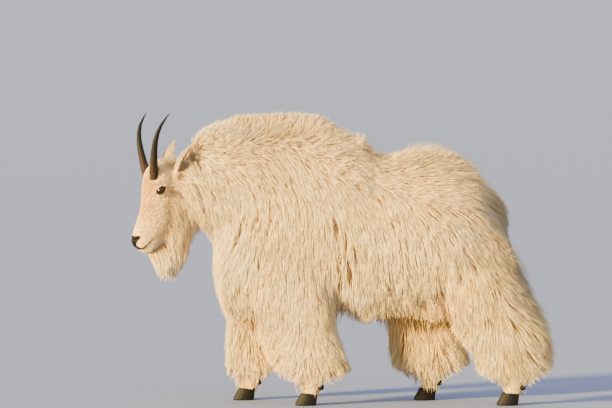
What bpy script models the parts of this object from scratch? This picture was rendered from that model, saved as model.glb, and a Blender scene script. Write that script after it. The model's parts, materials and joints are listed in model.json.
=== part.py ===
"""A mountain goat standing in its full winter coat, as a still, life-size model.

The goat faces -X with its head turned 27 degrees towards its left, the -Y side.
Every outline runs out to the tips of the coat. Lengths are in centimetres in the
tables and are turned into metres as the shapes are made. Heights are above the
ground, on which the flat soles of the hooves stand.
"""
import math

import bmesh
import bpy
from mathutils import Matrix, Vector

CM = 0.01
# Clearance between neighbouring pieces, in metres.
GAP = 0.0003

# Overall grain of the body and of the head before they are parted, in metres.
BODY_GRAIN = 0.011
HEAD_GRAIN = 0.0055
BODY_TRIANGLES = 2700
HEAD_TRIANGLES = 1600

# The head turns about an upright line through the top of the neck.
HEAD_YAW = math.radians(27.0)
HEAD_PIVOT_X = -54.25

EYE_RADIUS = 1.6
EYE_SUNK = 0.95
SOLE_LEVEL = 0.0
CORONET = 4.3
CLAW_LENGTH = 7.4
CLAW_WIDTH = 3.0

COLLECTION = "mountain_goat"

# Trunk sections from the breast to the rump: place along the body, top, underside,
# half width, and how narrow the back is against the belly.
TRUNK = [
    (-44.8, 52.0, 40.0, 7.0, 0.95),
    (-42.0, 62.3, 34.0, 13.0, 0.90),
    (-35.0, 86.0, 30.2, 17.5, 0.72),
    (-27.3, 99.5, 30.0, 19.5, 0.60),
    (-17.5, 101.5, 30.5, 20.5, 0.55),
    (-8.8, 101.0, 31.9, 20.6, 0.55),
    (0.0, 97.4, 32.4, 20.6, 0.58),
    (6.0, 95.0, 30.2, 20.3, 0.62),
    (9.3, 92.2, 29.6, 20.0, 0.66),
    (12.3, 87.6, 30.4, 20.0, 0.72),
    (19.3, 88.0, 31.9, 20.2, 0.74),
    (28.0, 89.6, 30.5, 20.5, 0.74),
    (36.8, 88.2, 29.8, 20.3, 0.74),
    (43.8, 84.6, 30.8, 19.5, 0.74),
    (49.0, 79.4, 32.6, 18.0, 0.76),
    (53.2, 71.5, 36.1, 15.5, 0.80),
    (56.6, 65.2, 41.3, 11.0, 0.90),
    (58.3, 58.0, 47.3, 5.0, 0.95),
]

# Neck sections from the shoulders to the nape: place, middle height, half height,
# half width.
NECK = [
    (-20.0, 74.0, 27.2, 16.5),
    (-31.5, 73.0, 27.8, 16.5),
    (-41.3, 78.0, 21.8, 13.8),
    (-49.0, 78.6, 17.6, 10.8),
    (-54.3, 78.0, 12.8, 8.0),
]

# Head sections from the poll to the muzzle: the upper and the lower end of each
# section as (forward, height) pairs in the turned frame of the head, and half width.
HEAD = [
    ((4.6, 86.9), (-2.8, 75.3), 4.6),
    ((9.5, 86.6), (-2.8, 68.6), 5.4),
    ((14.2, 82.8), (-2.1, 64.4), 6.0),
    ((16.1, 77.7), (0.7, 59.5), 6.0),
    ((16.4, 72.8), (4.2, 56.0), 5.3),
    ((17.1, 68.3), (7.7, 53.6), 4.4),
    ((18.6, 63.7), (10.9, 52.6), 3.7),
    ((20.0, 59.9), (13.3, 52.2), 3.4),
    ((20.8, 57.9), (15.4, 52.5), 3.0),
    ((20.7, 56.5), (17.5, 53.3), 2.0),
]

# Beard sections from the jaw down: height, front, back and half width in the frame
# of the head.
BEARD = [
    (68.3, 5.0, -4.6, 5.5),
    (61.3, 9.0, -3.8, 5.0),
    (55.3, 13.3, -2.2, 4.3),
    (52.5, 13.9, -0.9, 3.9),
    (48.3, 12.9, 0.6, 3.1),
    (45.5, 11.0, 2.3, 2.1),
    (44.1, 8.6, 4.2, 1.1),
]

# Hair-covered legs from inside the trunk to the coronets: height, place along the
# body, half depth along the body, half width.
LEG_HIND_LEFT = [
    (66.0, 41.0, 9.0, 3.5),
    (58.8, 44.0, 14.2, 7.0),
    (46.5, 48.3, 14.4, 8.8),
    (36.0, 51.6, 15.9, 9.2),
    (27.3, 56.7, 16.3, 8.6),
    (20.3, 58.9, 14.0, 8.2),
    (15.6, 59.8, 12.9, 7.8),
    (12.6, 60.2, 10.6, 6.8),
    (10.4, 60.3, 7.2, 5.2),
    (8.8, 60.3, 4.0, 3.6),
    (7.6, 60.3, 3.1, 2.8),
    (6.4, 60.3, 3.3, 3.0),
    (5.2, 59.7, 3.1, 2.9),
    (4.0, 59.1, 2.9, 2.8),
]
LEG_HIND_RIGHT = [
    (64.0, 30.5, 9.0, 3.5),
    (57.0, 29.8, 13.0, 7.0),
    (43.0, 28.0, 14.0, 8.8),
    (32.5, 28.0, 14.0, 8.8),
    (25.5, 29.4, 13.3, 8.2),
    (18.5, 31.4, 13.6, 8.0),
    (15.6, 31.8, 13.2, 7.8),
    (12.6, 31.9, 10.9, 6.8),
    (10.4, 32.0, 7.3, 5.2),
    (8.8, 32.1, 4.0, 3.6),
    (7.6, 32.1, 3.1, 2.8),
    (6.4, 32.1, 3.3, 3.0),
    (5.2, 31.5, 3.1, 2.9),
    (4.0, 30.9, 2.9, 2.8),
]
LEG_FORE_LEFT = [
    (66.0, -20.5, 9.0, 4.0),
    (57.0, -19.3, 14.0, 7.5),
    (39.5, -17.5, 15.4, 9.0),
    (29.0, -14.7, 13.6, 8.6),
    (22.0, -12.3, 13.4, 8.2),
    (15.7, -9.9, 13.0, 7.8),
    (12.6, -9.7, 10.9, 6.6),
    (10.4, -9.7, 7.4, 5.1),
    (8.8, -9.8, 4.1, 3.7),
    (7.6, -9.8, 3.2, 2.9),
    (6.4, -9.8, 3.4, 3.1),
    (5.2, -10.4, 3.2, 3.0),
    (4.0, -11.0, 3.0, 2.8),
]
LEG_FORE_RIGHT = [
    (60.0, -30.0, 7.5, 3.5),
    (52.0, -31.0, 11.5, 7.0),
    (36.0, -32.2, 10.5, 8.4),
    (29.0, -31.5, 8.6, 7.4),
    (22.0, -31.8, 9.2, 7.2),
    (16.2, -31.5, 9.8, 7.1),
    (12.8, -31.6, 8.2, 6.2),
    (10.4, -31.7, 6.0, 4.9),
    (8.8, -31.8, 4.0, 3.7),
    (7.6, -31.8, 3.2, 2.9),
    (6.4, -31.8, 3.4, 3.1),
    (5.2, -32.4, 3.2, 3.0),
    (4.0, -33.0, 3.0, 2.8),
]
FORE_SPREAD = 10.5
HIND_SPREAD = 10.0

# Blocks that part the legs from the trunk: front end, back end and top.
LEG_BLOCKS = {
    "leg_fore_left": (-37.0, 3.5, 39.0),
    "leg_fore_right": (-50.0, -18.0, 37.0),
    "leg_hind_left": (32.0, 82.0, 39.0),
    "leg_hind_right": (11.0, 48.0, 39.0),
}
LEG_INNER_WALL = 1.2

# The curve of a horn in the frame of the head: forward, left, height, radius.
HORN = [
    (13.0, 2.7, 78.6, 1.62),
    (13.3, 3.0, 80.0, 1.60),
    (14.1, 4.6, 85.0, 1.32),
    (14.5, 6.9, 92.0, 0.92),
    (13.2, 8.7, 97.3, 0.56),
    (10.4, 9.8, 101.5, 0.16),
]

# The ear runs from its root to its tip, and its cup opens backwards and outwards;
# all three are (forward, left, height).
EAR_ROOT = (5.2, 4.7, 79.3)
EAR_TIP = (0.0, 9.3, 91.0)
EAR_OPENING = (-0.80, 0.60, 0.10)
EAR_HALF_WIDTHS = (1.4, 2.2, 2.55, 2.3, 1.5, 0.45)

# The tail hangs over the rump: place, height, half thickness, half width.
TAIL = [
    (48.5, 76.0, 2.4, 2.8),
    (51.5, 73.4, 3.0, 3.9),
    (54.6, 70.0, 2.9, 4.1),
    (57.0, 66.6, 2.1, 3.4),
    (58.4, 63.4, 0.9, 1.6),
]


def clear_scene():
    for thing in list(bpy.data.objects):
        bpy.data.objects.remove(thing, do_unlink=True)


def part_collection():
    found = bpy.data.collections.get(COLLECTION)
    if found is None:
        found = bpy.data.collections.new(COLLECTION)
        bpy.context.scene.collection.children.link(found)
    return found


def object_from(bm, name):
    """Closes the work on a mesh and gives it an object of its own."""
    bmesh.ops.recalc_face_normals(bm, faces=bm.faces)
    mesh = bpy.data.meshes.new(name)
    bm.to_mesh(mesh)
    bm.free()
    thing = bpy.data.objects.new(name, mesh)
    part_collection().objects.link(thing)
    return thing


def between(rows, steps):
    """Smooth rows between the key rows, each row a plain tuple of numbers."""
    out = []
    for i in range(len(rows) - 1):
        a, b = rows[max(i - 1, 0)], rows[i]
        c, d = rows[i + 1], rows[min(i + 2, len(rows) - 1)]
        for k in range(steps):
            t = k / steps
            out.append(tuple(
                0.5 * (2 * q + (r - p) * t + (2 * p - 5 * q + 4 * r - s) * t * t
                       + (3 * q - p - 3 * r + s) * t ** 3)
                for p, q, r, s in zip(a, b, c, d)))
    out.append(tuple(rows[-1]))
    return out


def ring(middle, up, side, count, power=2.0, top=1.0):
    """An oval or rounded-square section; 'top' narrows its upper end."""
    points = []
    for k in range(count):
        turn = 2 * math.pi * k / count
        rise, reach = math.sin(turn), math.cos(turn)
        rise = math.copysign(abs(rise) ** (2 / power), rise)
        reach = math.copysign(abs(reach) ** (2 / power), reach)
        width = 1 + (top - 1) * max(0.0, rise)
        points.append((middle + up * rise + side * (reach * width)) * CM)
    return points


def loft(name, rings):
    """Skins a row of sections that all have the same number of points."""
    bm = bmesh.new()
    rows = [[bm.verts.new(p) for p in points] for points in rings]
    for near, far in zip(rows, rows[1:]):
        for k in range(len(near)):
            j = (k + 1) % len(near)
            bm.faces.new((near[k], near[j], far[j], far[k]))
    bm.faces.new(rows[0])
    bm.faces.new(rows[-1])
    # Triangles keep the surface the same in a set-in piece and in its seat.
    bmesh.ops.triangulate(bm, faces=bm.faces)
    return object_from(bm, name)


def head_point(forward, left, height):
    """A place in the turned frame of the head, in centimetres."""
    return Vector((
        HEAD_PIVOT_X - math.cos(HEAD_YAW) * forward + math.sin(HEAD_YAW) * left,
        -math.sin(HEAD_YAW) * forward - math.cos(HEAD_YAW) * left,
        height))


def head_way(forward, left, up):
    return (head_point(forward, left, up) - head_point(0, 0, 0)).normalized()


def settle(thing):
    """Puts the result of the modifiers into the mesh itself."""
    graph = bpy.context.evaluated_depsgraph_get()
    mesh = bpy.data.meshes.new_from_object(thing.evaluated_get(graph))
    thing.modifiers.clear()
    old = thing.data
    thing.data = mesh
    bpy.data.meshes.remove(old)
    mesh.name = thing.name


def discard(thing):
    mesh = thing.data
    bpy.data.objects.remove(thing, do_unlink=True)
    bpy.data.meshes.remove(mesh)


def melt(name, things, grain, triangles, softening=4):
    """Joins overlapping shapes into one closed skin of few faces."""
    bm = bmesh.new()
    for thing in things:
        bm.from_mesh(thing.data)
        discard(thing)
    whole = object_from(bm, name)
    remesh = whole.modifiers.new("one skin", "REMESH")
    remesh.mode = "VOXEL"
    remesh.voxel_size = grain
    smooth = whole.modifiers.new("soften", "SMOOTH")
    smooth.factor = 0.5
    smooth.iterations = softening
    settle(whole)
    fewer = whole.modifiers.new("fewer faces", "DECIMATE")
    fewer.ratio = min(1.0, triangles / (2.0 * len(whole.data.polygons)))
    settle(whole)
    return whole


def shape(thing, cutter, operation):
    step = thing.modifiers.new("cut", "BOOLEAN")
    step.operation = operation
    step.solver = "EXACT"
    step.object = cutter
    settle(thing)


def copy_of(thing, name):
    twin = bpy.data.objects.new(name, thing.data.copy())
    part_collection().objects.link(twin)
    return twin


def block(name, low, high, grow=0.0, turn=None, at=(0, 0, 0)):
    """A block between two corners in centimetres, grown by a length in metres."""
    low, high = Vector(low) * CM, Vector(high) * CM
    size = high - low + Vector((2 * grow,) * 3)
    bm = bmesh.new()
    bmesh.ops.create_cube(bm, size=1.0)
    bmesh.ops.scale(bm, vec=size, verts=bm.verts)
    bmesh.ops.translate(bm, vec=(low + high) / 2, verts=bm.verts)
    if turn is not None:
        bmesh.ops.transform(bm, matrix=turn, verts=bm.verts)
    bmesh.ops.translate(bm, vec=Vector(at) * CM, verts=bm.verts)
    return object_from(bm, name)


def facing(ahead):
    """The rotation that takes +Z to the direction 'ahead'."""
    return Vector((0, 0, 1)).rotation_difference(ahead).to_matrix().to_4x4()


def part_by_plane(whole, name, point, ahead):
    """Takes the piece ahead of a plane off the whole, leaving a thin gap."""
    reach = 90
    turn = facing(ahead)
    keep = block("keep", (-reach, -reach, 0), (reach, reach, 2 * reach), 0.0, turn, point)
    lose = block("lose", (-reach, -reach, -GAP / CM), (reach, reach, 2 * reach), 0.0,
                 turn, point)
    piece = copy_of(whole, name)
    shape(piece, keep, "INTERSECT")
    shape(whole, lose, "DIFFERENCE")
    discard(keep)
    discard(lose)
    return piece


def part_by_block(whole, name, low, high, turn=None, at=(0, 0, 0)):
    """Takes the piece inside a block off the whole, leaving a thin gap."""
    keep = block("keep", low, high, 0.0, turn, at)
    lose = block("lose", low, high, GAP, turn, at)
    piece = copy_of(whole, name)
    shape(piece, keep, "INTERSECT")
    shape(whole, lose, "DIFFERENCE")
    discard(keep)
    discard(lose)
    return piece


def grown(thing, by):
    """A copy whose surface stands out by a small length, for cutting a seat."""
    twin = copy_of(thing, thing.name + "_seat")
    bm = bmesh.new()
    bm.from_mesh(twin.data)
    bm.normal_update()
    moves = [vert.normal * (by * vert.calc_shell_factor()) for vert in bm.verts]
    for vert, move in zip(bm.verts, moves):
        vert.co += move
    bm.to_mesh(twin.data)
    bm.free()
    return twin


def seat(host, piece):
    """Cuts a seat for a set-in piece, with clearance all round."""
    cutter = grown(piece, GAP * 1.1)
    shape(host, cutter, "DIFFERENCE")
    discard(cutter)


def ball(name, middle, radius, steps=3):
    bm = bmesh.new()
    bmesh.ops.create_icosphere(bm, subdivisions=steps, radius=radius * CM)
    bmesh.ops.translate(bm, vec=Vector(middle) * CM, verts=bm.verts)
    return object_from(bm, name)


def trunk_loft():
    rings = []
    for along, top, under, half, back in between(TRUNK, 4):
        middle = Vector((along, 0, (top + under) / 2))
        rings.append(ring(middle, Vector((0, 0, (top - under) / 2)),
                          Vector((0, half, 0)), 32, 2.25, back))
    return loft("trunk_form", rings)


def neck_loft():
    rings = []
    for along, height, tall, half in between(NECK, 5):
        rings.append(ring(Vector((along, 0, height)), Vector((0, 0, tall)),
                          Vector((0, half, 0)), 28, 2.1, 0.8))
    return loft("neck_form", rings)


def head_loft():
    rows = [(a[0], a[1], b[0], b[1], half) for a, b, half in HEAD]
    rings = []
    for uf, uh, lf, lh, half in between(rows, 5):
        high, low = head_point(uf, 0, uh), head_point(lf, 0, lh)
        rings.append(ring((high + low) / 2, (high - low) / 2,
                          head_way(0, 1, 0) * half, 28, 2.3, 0.9))
    return loft("head_form", rings)


def beard_loft():
    rings = []
    for height, front, back, half in between(BEARD, 4):
        middle = head_point((front + back) / 2, 0, height)
        rings.append(ring(middle, head_way(1, 0, 0) * ((front - back) / 2),
                          head_way(0, 1, 0) * half, 24, 2.2))
    return loft("beard_form", rings)


def leg_loft(name, rows, side):
    rings = []
    for height, along, deep, half in between(rows, 3):
        spread = side * (HIND_SPREAD if rows[0][1] > 0 else FORE_SPREAD)
        rings.append(ring(Vector((along, spread, height)), Vector((deep, 0, 0)),
                          Vector((0, half, 0)), 26, 2.3))
    return loft(name, rings)


def tail_loft():
    rows = between(TAIL, 2)
    rings = []
    for i, (along, height, thick, half) in enumerate(rows):
        a, b = rows[max(i - 1, 0)], rows[min(i + 1, len(rows) - 1)]
        run = Vector((b[0] - a[0], 0, b[1] - a[1])).normalized()
        out = Vector((-run.z, 0, run.x))
        rings.append(ring(Vector((along, 0, height)), out * thick,
                          Vector((0, half, 0)), 14))
    return loft("tail", rings)


def horn_loft(name, side):
    rows = between(HORN, 2)
    rings = []
    for i, (forward, left, height, radius) in enumerate(rows):
        a, b = rows[max(i - 1, 0)], rows[min(i + 1, len(rows) - 1)]
        run = (head_point(b[0], side * b[1], b[2])
               - head_point(a[0], side * a[1], a[2])).normalized()
        across = run.cross(head_way(1, 0, 0)).normalized()
        ahead = across.cross(run).normalized()
        middle = head_point(forward, side * left, height)
        rings.append(ring(middle, ahead * (radius * 1.08), across * (radius * 0.94), 12))
    return loft(name, rings)


def ear_loft(name, side):
    """A leaf-shaped cup: each section is a bowed band, hollow towards the opening."""
    root = head_point(EAR_ROOT[0], side * EAR_ROOT[1], EAR_ROOT[2])
    tip = head_point(EAR_TIP[0], side * EAR_TIP[1], EAR_TIP[2])
    run = (tip - root).normalized()
    opening = head_way(EAR_OPENING[0], side * EAR_OPENING[1], EAR_OPENING[2])
    opening = (opening - run * opening.dot(run)).normalized()
    across = run.cross(opening)
    rows = between([(w,) for w in EAR_HALF_WIDTHS], 1)
    rings = []
    for i, (half,) in enumerate(rows):
        share = i / (len(rows) - 1)
        middle = root + (tip - root) * share - opening * (0.9 * math.sin(math.pi * share))
        bow = math.radians(95 - 30 * share)
        thick = 0.55 - 0.3 * share
        points = []
        for k in range(8):
            turn = bow * (2 * k / 7 - 1)
            points.append(middle + across * (half * math.sin(turn) / math.sin(bow))
                          - opening * (half * 0.8 * math.cos(turn)))
        for k in range(6):
            turn = bow * (1 - 2 * (k + 0.5) / 6)
            inner = max(half - thick, 0.1) / half
            points.append(middle + across * (half * inner * math.sin(turn) / math.sin(bow))
                          - opening * (half * 0.8 * inner * math.cos(turn) - 0.05))
        rings.append([p * CM for p in points])
    return loft(name, rings)


def claw_loft(name, toe_x, middle_y):
    """One claw of a cloven hoof, pointed at the toe and flat under the sole."""
    rings = []
    levels = [(SOLE_LEVEL, 1.0, 0.0, 0.92), (0.5, 1.02, 0.0, 1.0), (2.2, 0.92, 0.95, 1.0),
              (CORONET, 0.79, 2.0, 0.96)]
    for height, long, back, wide in levels:
        length, half = CLAW_LENGTH * long, CLAW_WIDTH * wide / 2
        points = []
        for k in range(14):
            turn = 2 * math.pi * k / 14
            along = (1 - math.cos(turn)) / 2
            reach = math.sin(turn)
            reach *= half * (0.72 + 0.28 * math.sin(math.pi * min(1.0, along + 0.15)))
            points.append(Vector((toe_x + back + along * length, middle_y + reach,
                                  height)) * CM)
        rings.append(points)
    return loft(name, rings)


def dewclaw(name, along, across):
    bm = bmesh.new()
    bmesh.ops.create_icosphere(bm, subdivisions=2, radius=1.0)
    bmesh.ops.scale(bm, vec=Vector((1.25, 0.85, 1.1)) * CM, verts=bm.verts)
    bmesh.ops.translate(bm, vec=Vector((along, across, 6.3)) * CM, verts=bm.verts)
    return object_from(bm, name)


def paint(thing, colour, rough):
    mat = bpy.data.materials.new(thing.name + "_colour")
    mat.use_nodes = True
    shader = mat.node_tree.nodes["Principled BSDF"]
    shader.inputs["Base Color"].default_value = (*colour, 1.0)
    shader.inputs["Roughness"].default_value = rough
    thing.data.materials.clear()
    thing.data.materials.append(mat)


def surface_along(thing, start, way):
    """Where a line from inside the shape leaves it, in metres."""
    hit, place, _, _ = thing.ray_cast(start, way)
    if not hit:
        raise RuntimeError("the line does not meet " + thing.name)
    return place


def build():
    clear_scene()

    # Body in one piece: trunk, neck and the four hair-covered legs.
    forms = [trunk_loft(), neck_loft()]
    legs = {
        "leg_fore_left": (LEG_FORE_LEFT, -1), "leg_fore_right": (LEG_FORE_RIGHT, 1),
        "leg_hind_left": (LEG_HIND_LEFT, -1), "leg_hind_right": (LEG_HIND_RIGHT, 1),
    }
    for name, (rows, side) in legs.items():
        forms.append(leg_loft(name + "_form", rows, side))
    trunk = melt("trunk", forms, BODY_GRAIN, BODY_TRIANGLES)

    # Head in one piece with the beard, the brows and the end of the neck.
    forms = [head_loft(), beard_loft(), neck_loft()]
    for side in (-1, 1):
        forms.append(ball("brow", head_point(11.4, side * 3.9, 74.9), 2.6))
    head = melt("head", forms, HEAD_GRAIN, HEAD_TRIANGLES, 3)

    # The head takes the front of the neck line, the body everything behind it.
    nape = Vector((-50.0, 0, 72.8))
    forward = Vector((-0.965, 0, -0.19))
    forward.rotate(Matrix.Rotation(math.radians(12), 3, "Z"))
    front = part_by_plane(head, "front", nape, forward)
    discard(head)
    head = front
    head.name = "head"
    spare = part_by_plane(trunk, "spare", nape, forward)
    discard(spare)

    # Neck, beard and nose are parted from their neighbours by thin cuts.
    neck = part_by_plane(trunk, "neck", Vector((-39.4, 0, 76.3)),
                         Vector((-0.963, 0, 0.271)))
    beard = part_by_plane(head, "beard", Vector((-58.8, 0, 55.6)),
                          Vector((0.339, 0, -0.941)))
    along_nose = Matrix((head_way(0, 1, 0), head_way(-0.31, 0, 0.95),
                         head_way(0.95, 0, 0.31))).transposed().to_4x4()
    nose = part_by_block(head, "nose", (-4, -2.5, 0), (4, 1.9, 5), along_nose,
                         head_point(19.2, 0, 56.9))

    # Legs, cut off square above the elbows and the knees and level at the coronets.
    under = block("under", (-90, -60, -20), (90, 60, CORONET + GAP / CM))
    shape(trunk, under, "DIFFERENCE")
    discard(under)
    pieces = [trunk, neck, head, beard, nose]
    for name, (rows, side) in legs.items():
        front_end, back_end, top = LEG_BLOCKS[name]
        walls = sorted((side * LEG_INNER_WALL, side * 40.0))
        leg = part_by_block(trunk, name, (front_end, walls[0], 0), (back_end, walls[1], top))
        pieces.append(leg)

        # Two claws under each leg and two dewclaws behind the fetlock.
        spread = side * (HIND_SPREAD if rows[0][1] > 0 else FORE_SPREAD)
        pastern = rows[-1][1]
        for claw, way in (("inner", -side), ("outer", side)):
            pieces.append(claw_loft("hoof_%s_%s" % (name[4:], claw), pastern - 4.8,
                                    spread + way * 1.62))
            spur = dewclaw("dewclaw_%s_%s" % (name[4:], claw), pastern + 4.2,
                           spread + way * 1.7)
            seat(leg, spur)
            pieces.append(spur)

    # Eyes, set so deep that only the front of each ball shows.
    for word, side in (("left", 1), ("right", -1)):
        gaze = head_way(0.28, side * 0.95, 0.10)
        inside = head_point(11.0, side * 2.5, 74.4) * CM
        front = surface_along(head, inside, gaze)
        eye = ball("eye_" + word, front / CM - gaze * EYE_SUNK, EYE_RADIUS, 2)
        seat(head, eye)
        pieces.append(eye)

    # Horns and ears stand in seats in the head.
    for word, side in (("left", 1), ("right", -1)):
        horn = horn_loft("horn_" + word, side)
        seat(head, horn)
        ear = ear_loft("ear_" + word, side)
        seat(head, ear)
        seat(neck, ear)
        pieces += [horn, ear]

    tail = tail_loft()
    seat(trunk, tail)
    pieces.append(tail)

    colours = {
        "horn": ((0.035, 0.026, 0.020), 0.45), "hoof": ((0.030, 0.026, 0.024), 0.55),
        "dewclaw": ((0.030, 0.026, 0.024), 0.55), "nose": ((0.012, 0.011, 0.011), 0.40),
        "eye": ((0.060, 0.028, 0.012), 0.10),
    }
    coat = ((0.80, 0.68, 0.50), 0.90)
    low = Vector([min((v.co[i] for p in pieces for v in p.data.vertices)) for i in range(3)])
    high = Vector([max((v.co[i] for p in pieces for v in p.data.vertices)) for i in range(3)])
    shift = Vector((-(low.x + high.x) / 2, -(low.y + high.y) / 2, -low.z))
    total = 0
    for piece in pieces:
        piece.data.transform(Matrix.Translation(shift))
        piece.data.name = piece.name
        paint(piece, *colours.get(piece.name.split("_")[0], coat))
        total += sum(len(f.vertices) - 2 for f in piece.data.polygons)
    print("moved by", [round(c, 5) for c in shift], "size",
          [round(c, 4) for c in high - low], "triangles", total, "pieces", len(pieces))


build()
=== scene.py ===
# %% [markdown]
# A mountain goat in full winter coat, built around its measured solid model.
# The solids give the true outline, out to the tips of the hair. Here they get what makes an
# animal of them: one skin without seams, eyes, ridged horns, hooves, and a coat of many thin
# locks of hair that follow the way real hair lies.
# Everything is worked out in the frame of the solids: the goat faces -X, its left side is -Y,
# +Z is up, and all lengths are in metres.

import json
import math

import bmesh
import bpy
import numpy as np
from mathutils import Matrix, Vector
from mathutils.bvhtree import BVHTree
from mathutils.kdtree import KDTree

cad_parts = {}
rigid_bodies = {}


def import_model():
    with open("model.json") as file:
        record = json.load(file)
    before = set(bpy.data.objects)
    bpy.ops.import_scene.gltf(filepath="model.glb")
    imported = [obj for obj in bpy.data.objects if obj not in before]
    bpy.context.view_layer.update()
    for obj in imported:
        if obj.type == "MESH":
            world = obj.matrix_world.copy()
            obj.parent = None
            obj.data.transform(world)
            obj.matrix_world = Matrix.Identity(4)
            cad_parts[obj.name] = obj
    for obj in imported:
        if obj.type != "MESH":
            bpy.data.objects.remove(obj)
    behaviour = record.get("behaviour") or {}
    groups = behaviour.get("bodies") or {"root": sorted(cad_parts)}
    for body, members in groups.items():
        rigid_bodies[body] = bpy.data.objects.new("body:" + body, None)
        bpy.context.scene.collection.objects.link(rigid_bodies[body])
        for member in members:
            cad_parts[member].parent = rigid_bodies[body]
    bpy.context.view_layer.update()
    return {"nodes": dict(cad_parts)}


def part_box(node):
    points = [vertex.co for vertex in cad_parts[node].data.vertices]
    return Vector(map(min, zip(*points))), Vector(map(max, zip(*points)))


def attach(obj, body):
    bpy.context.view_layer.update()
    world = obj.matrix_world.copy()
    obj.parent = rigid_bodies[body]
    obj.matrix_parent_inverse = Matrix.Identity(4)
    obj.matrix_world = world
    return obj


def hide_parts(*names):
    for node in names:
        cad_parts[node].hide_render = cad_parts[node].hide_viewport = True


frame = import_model()

# %% [markdown]
# The head is turned towards the goat's left, so its own directions differ from the body's.
# Measures on the head are easiest to take along its own lines: forward from the top of the
# neck, left from the middle of the face, and up. Two small helpers change between the frames.

# %% The frame of the head
HEAD_YAW = math.radians(27.0)
HEAD_PIVOT = np.array([-0.54255, 0.00007, 0.0])
HEAD_AXES = np.array([
    [-math.cos(HEAD_YAW), -math.sin(HEAD_YAW), 0.0],
    [math.sin(HEAD_YAW), -math.cos(HEAD_YAW), 0.0],
    [0.0, 0.0, 1.0],
])
# What lies on both sides of the head is made once for each, with left counted as positive.
SIDES = {"left": 1, "right": -1}


def to_head(places):
    """World places as (forward, left, height) on the head."""
    return (np.asarray(places, float) - HEAD_PIVOT) @ HEAD_AXES.T


def from_head(places):
    """Places given as (forward, left, height) on the head, in the world."""
    return np.asarray(places, float) @ HEAD_AXES + HEAD_PIVOT


def node_middle(name):
    low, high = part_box(name)
    return (np.array(low) + np.array(high)) / 2


def gaze_of(side):
    """The way an eye looks: outwards, a little forward and up."""
    ahead = np.array([0.28, 0.95 * SIDES[side], 0.10]) @ HEAD_AXES
    return ahead / np.linalg.norm(ahead)


# The balls lie a little deeper than their solids, because the skin lies under the hair.
EYE_DEEPER = 0.003
EYES = {side: node_middle("eye_" + side) - gaze_of(side) * EYE_DEEPER for side in SIDES}
print("left eye, on the head:", to_head(EYES["left"]).round(4))

# %% [markdown]
# The camera stands on the goat's left side, a little above the level of its back, twelve metres
# away. A long lens keeps the body free of perspective, as a wildlife photographer's does.

# %% Camera
VIEW_DISTANCE = 12.0
VIEW_RISE = math.radians(2.0)
VIEW_MIDDLE = Vector((-0.1194, 0.0, 0.6965))
PICTURE_WIDTH = 612
POINT_SIZE = 0.0035
SENSOR_WIDTH = 36.0
FARTHEST_SEEN = 3000.0

camera_data = bpy.data.cameras.new("long_lens")
camera_data.sensor_width = SENSOR_WIDTH
camera_data.lens = SENSOR_WIDTH * VIEW_DISTANCE / (PICTURE_WIDTH * POINT_SIZE)
camera_data.clip_end = FARTHEST_SEEN
camera = bpy.data.objects.new("camera", camera_data)
bpy.context.scene.collection.objects.link(camera)
camera.location = VIEW_MIDDLE + VIEW_DISTANCE * Vector((0, -math.cos(VIEW_RISE), math.sin(VIEW_RISE)))
camera.rotation_euler = (math.pi / 2 - VIEW_RISE, 0.0, 0.0)
bpy.context.scene.camera = camera
print("lens", round(camera_data.lens, 1), "mm")

# %% [markdown]
# A few small tools are used all through. Each new shape starts as a bmesh, and one function
# makes an object of it. Another copies solids out of the frame: their triangles are loose there,
# so the doubles are merged first.

# %% Objects from a bmesh and from the solids
def link(thing):
    bpy.context.scene.collection.objects.link(thing)
    return thing


def made_of(bm, name):
    """A linked object made of a bmesh, which is used up."""
    mesh = bpy.data.meshes.new(name)
    bm.to_mesh(mesh)
    bm.free()
    return link(bpy.data.objects.new(name, mesh))


def joined_copy(name, nodes, grow=0.0):
    """One mesh object from copies of the solids, each swollen a little so that they overlap."""
    bm = bmesh.new()
    for node in nodes:
        piece = bmesh.new()
        piece.from_mesh(frame["nodes"][node].data)
        bmesh.ops.remove_doubles(piece, verts=piece.verts, dist=1e-6)
        if grow:
            piece.normal_update()
            moves = [v.normal * grow for v in piece.verts]
            for v, move in zip(piece.verts, moves):
                v.co += move
        mesh = bpy.data.meshes.new("piece")
        piece.to_mesh(mesh)
        piece.free()
        bm.from_mesh(mesh)
        bpy.data.meshes.remove(mesh)
    return made_of(bm, name)


def discard(thing):
    mesh = thing.data
    bpy.data.objects.remove(thing, do_unlink=True)
    bpy.data.meshes.remove(mesh)


print("solids in the frame:", len(frame["nodes"]))

# %% [markdown]
# Copies that overlap are made one body by remeshing them with voxels. It could also be done by
# Boolean unions, but those leave the many small faces of the copies, and a skin wants even ones.
# A voxel remesh can leave loose bits inside a shape, so only the largest body is kept.

# %% One body from several
def settle(thing):
    """Puts the result of the modifiers into the mesh itself."""
    graph = bpy.context.evaluated_depsgraph_get()
    mesh = bpy.data.meshes.new_from_object(thing.evaluated_get(graph))
    thing.modifiers.clear()
    old = thing.data
    thing.data = mesh
    bpy.data.meshes.remove(old)
    mesh.name = thing.name


def keep_largest(thing):
    """Drops all bodies of a mesh but the largest, and tells how many there were."""
    bm = bmesh.new()
    bm.from_mesh(thing.data)
    bm.verts.ensure_lookup_table()
    group = [-1] * len(bm.verts)
    groups = []
    for first in bm.verts:
        if group[first.index] >= 0:
            continue
        number = len(groups)
        group[first.index] = number
        stack, members = [first], []
        while stack:
            vert = stack.pop()
            members.append(vert)
            for edge in vert.link_edges:
                other = edge.other_vert(vert)
                if group[other.index] < 0:
                    group[other.index] = number
                    stack.append(other)
        groups.append(members)
    groups.sort(key=len)
    loose = [vert for members in groups[:-1] for vert in members]
    if loose:
        bmesh.ops.delete(bm, geom=loose, context="VERTS")
        bm.to_mesh(thing.data)
    bm.free()
    return len(groups)


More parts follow.
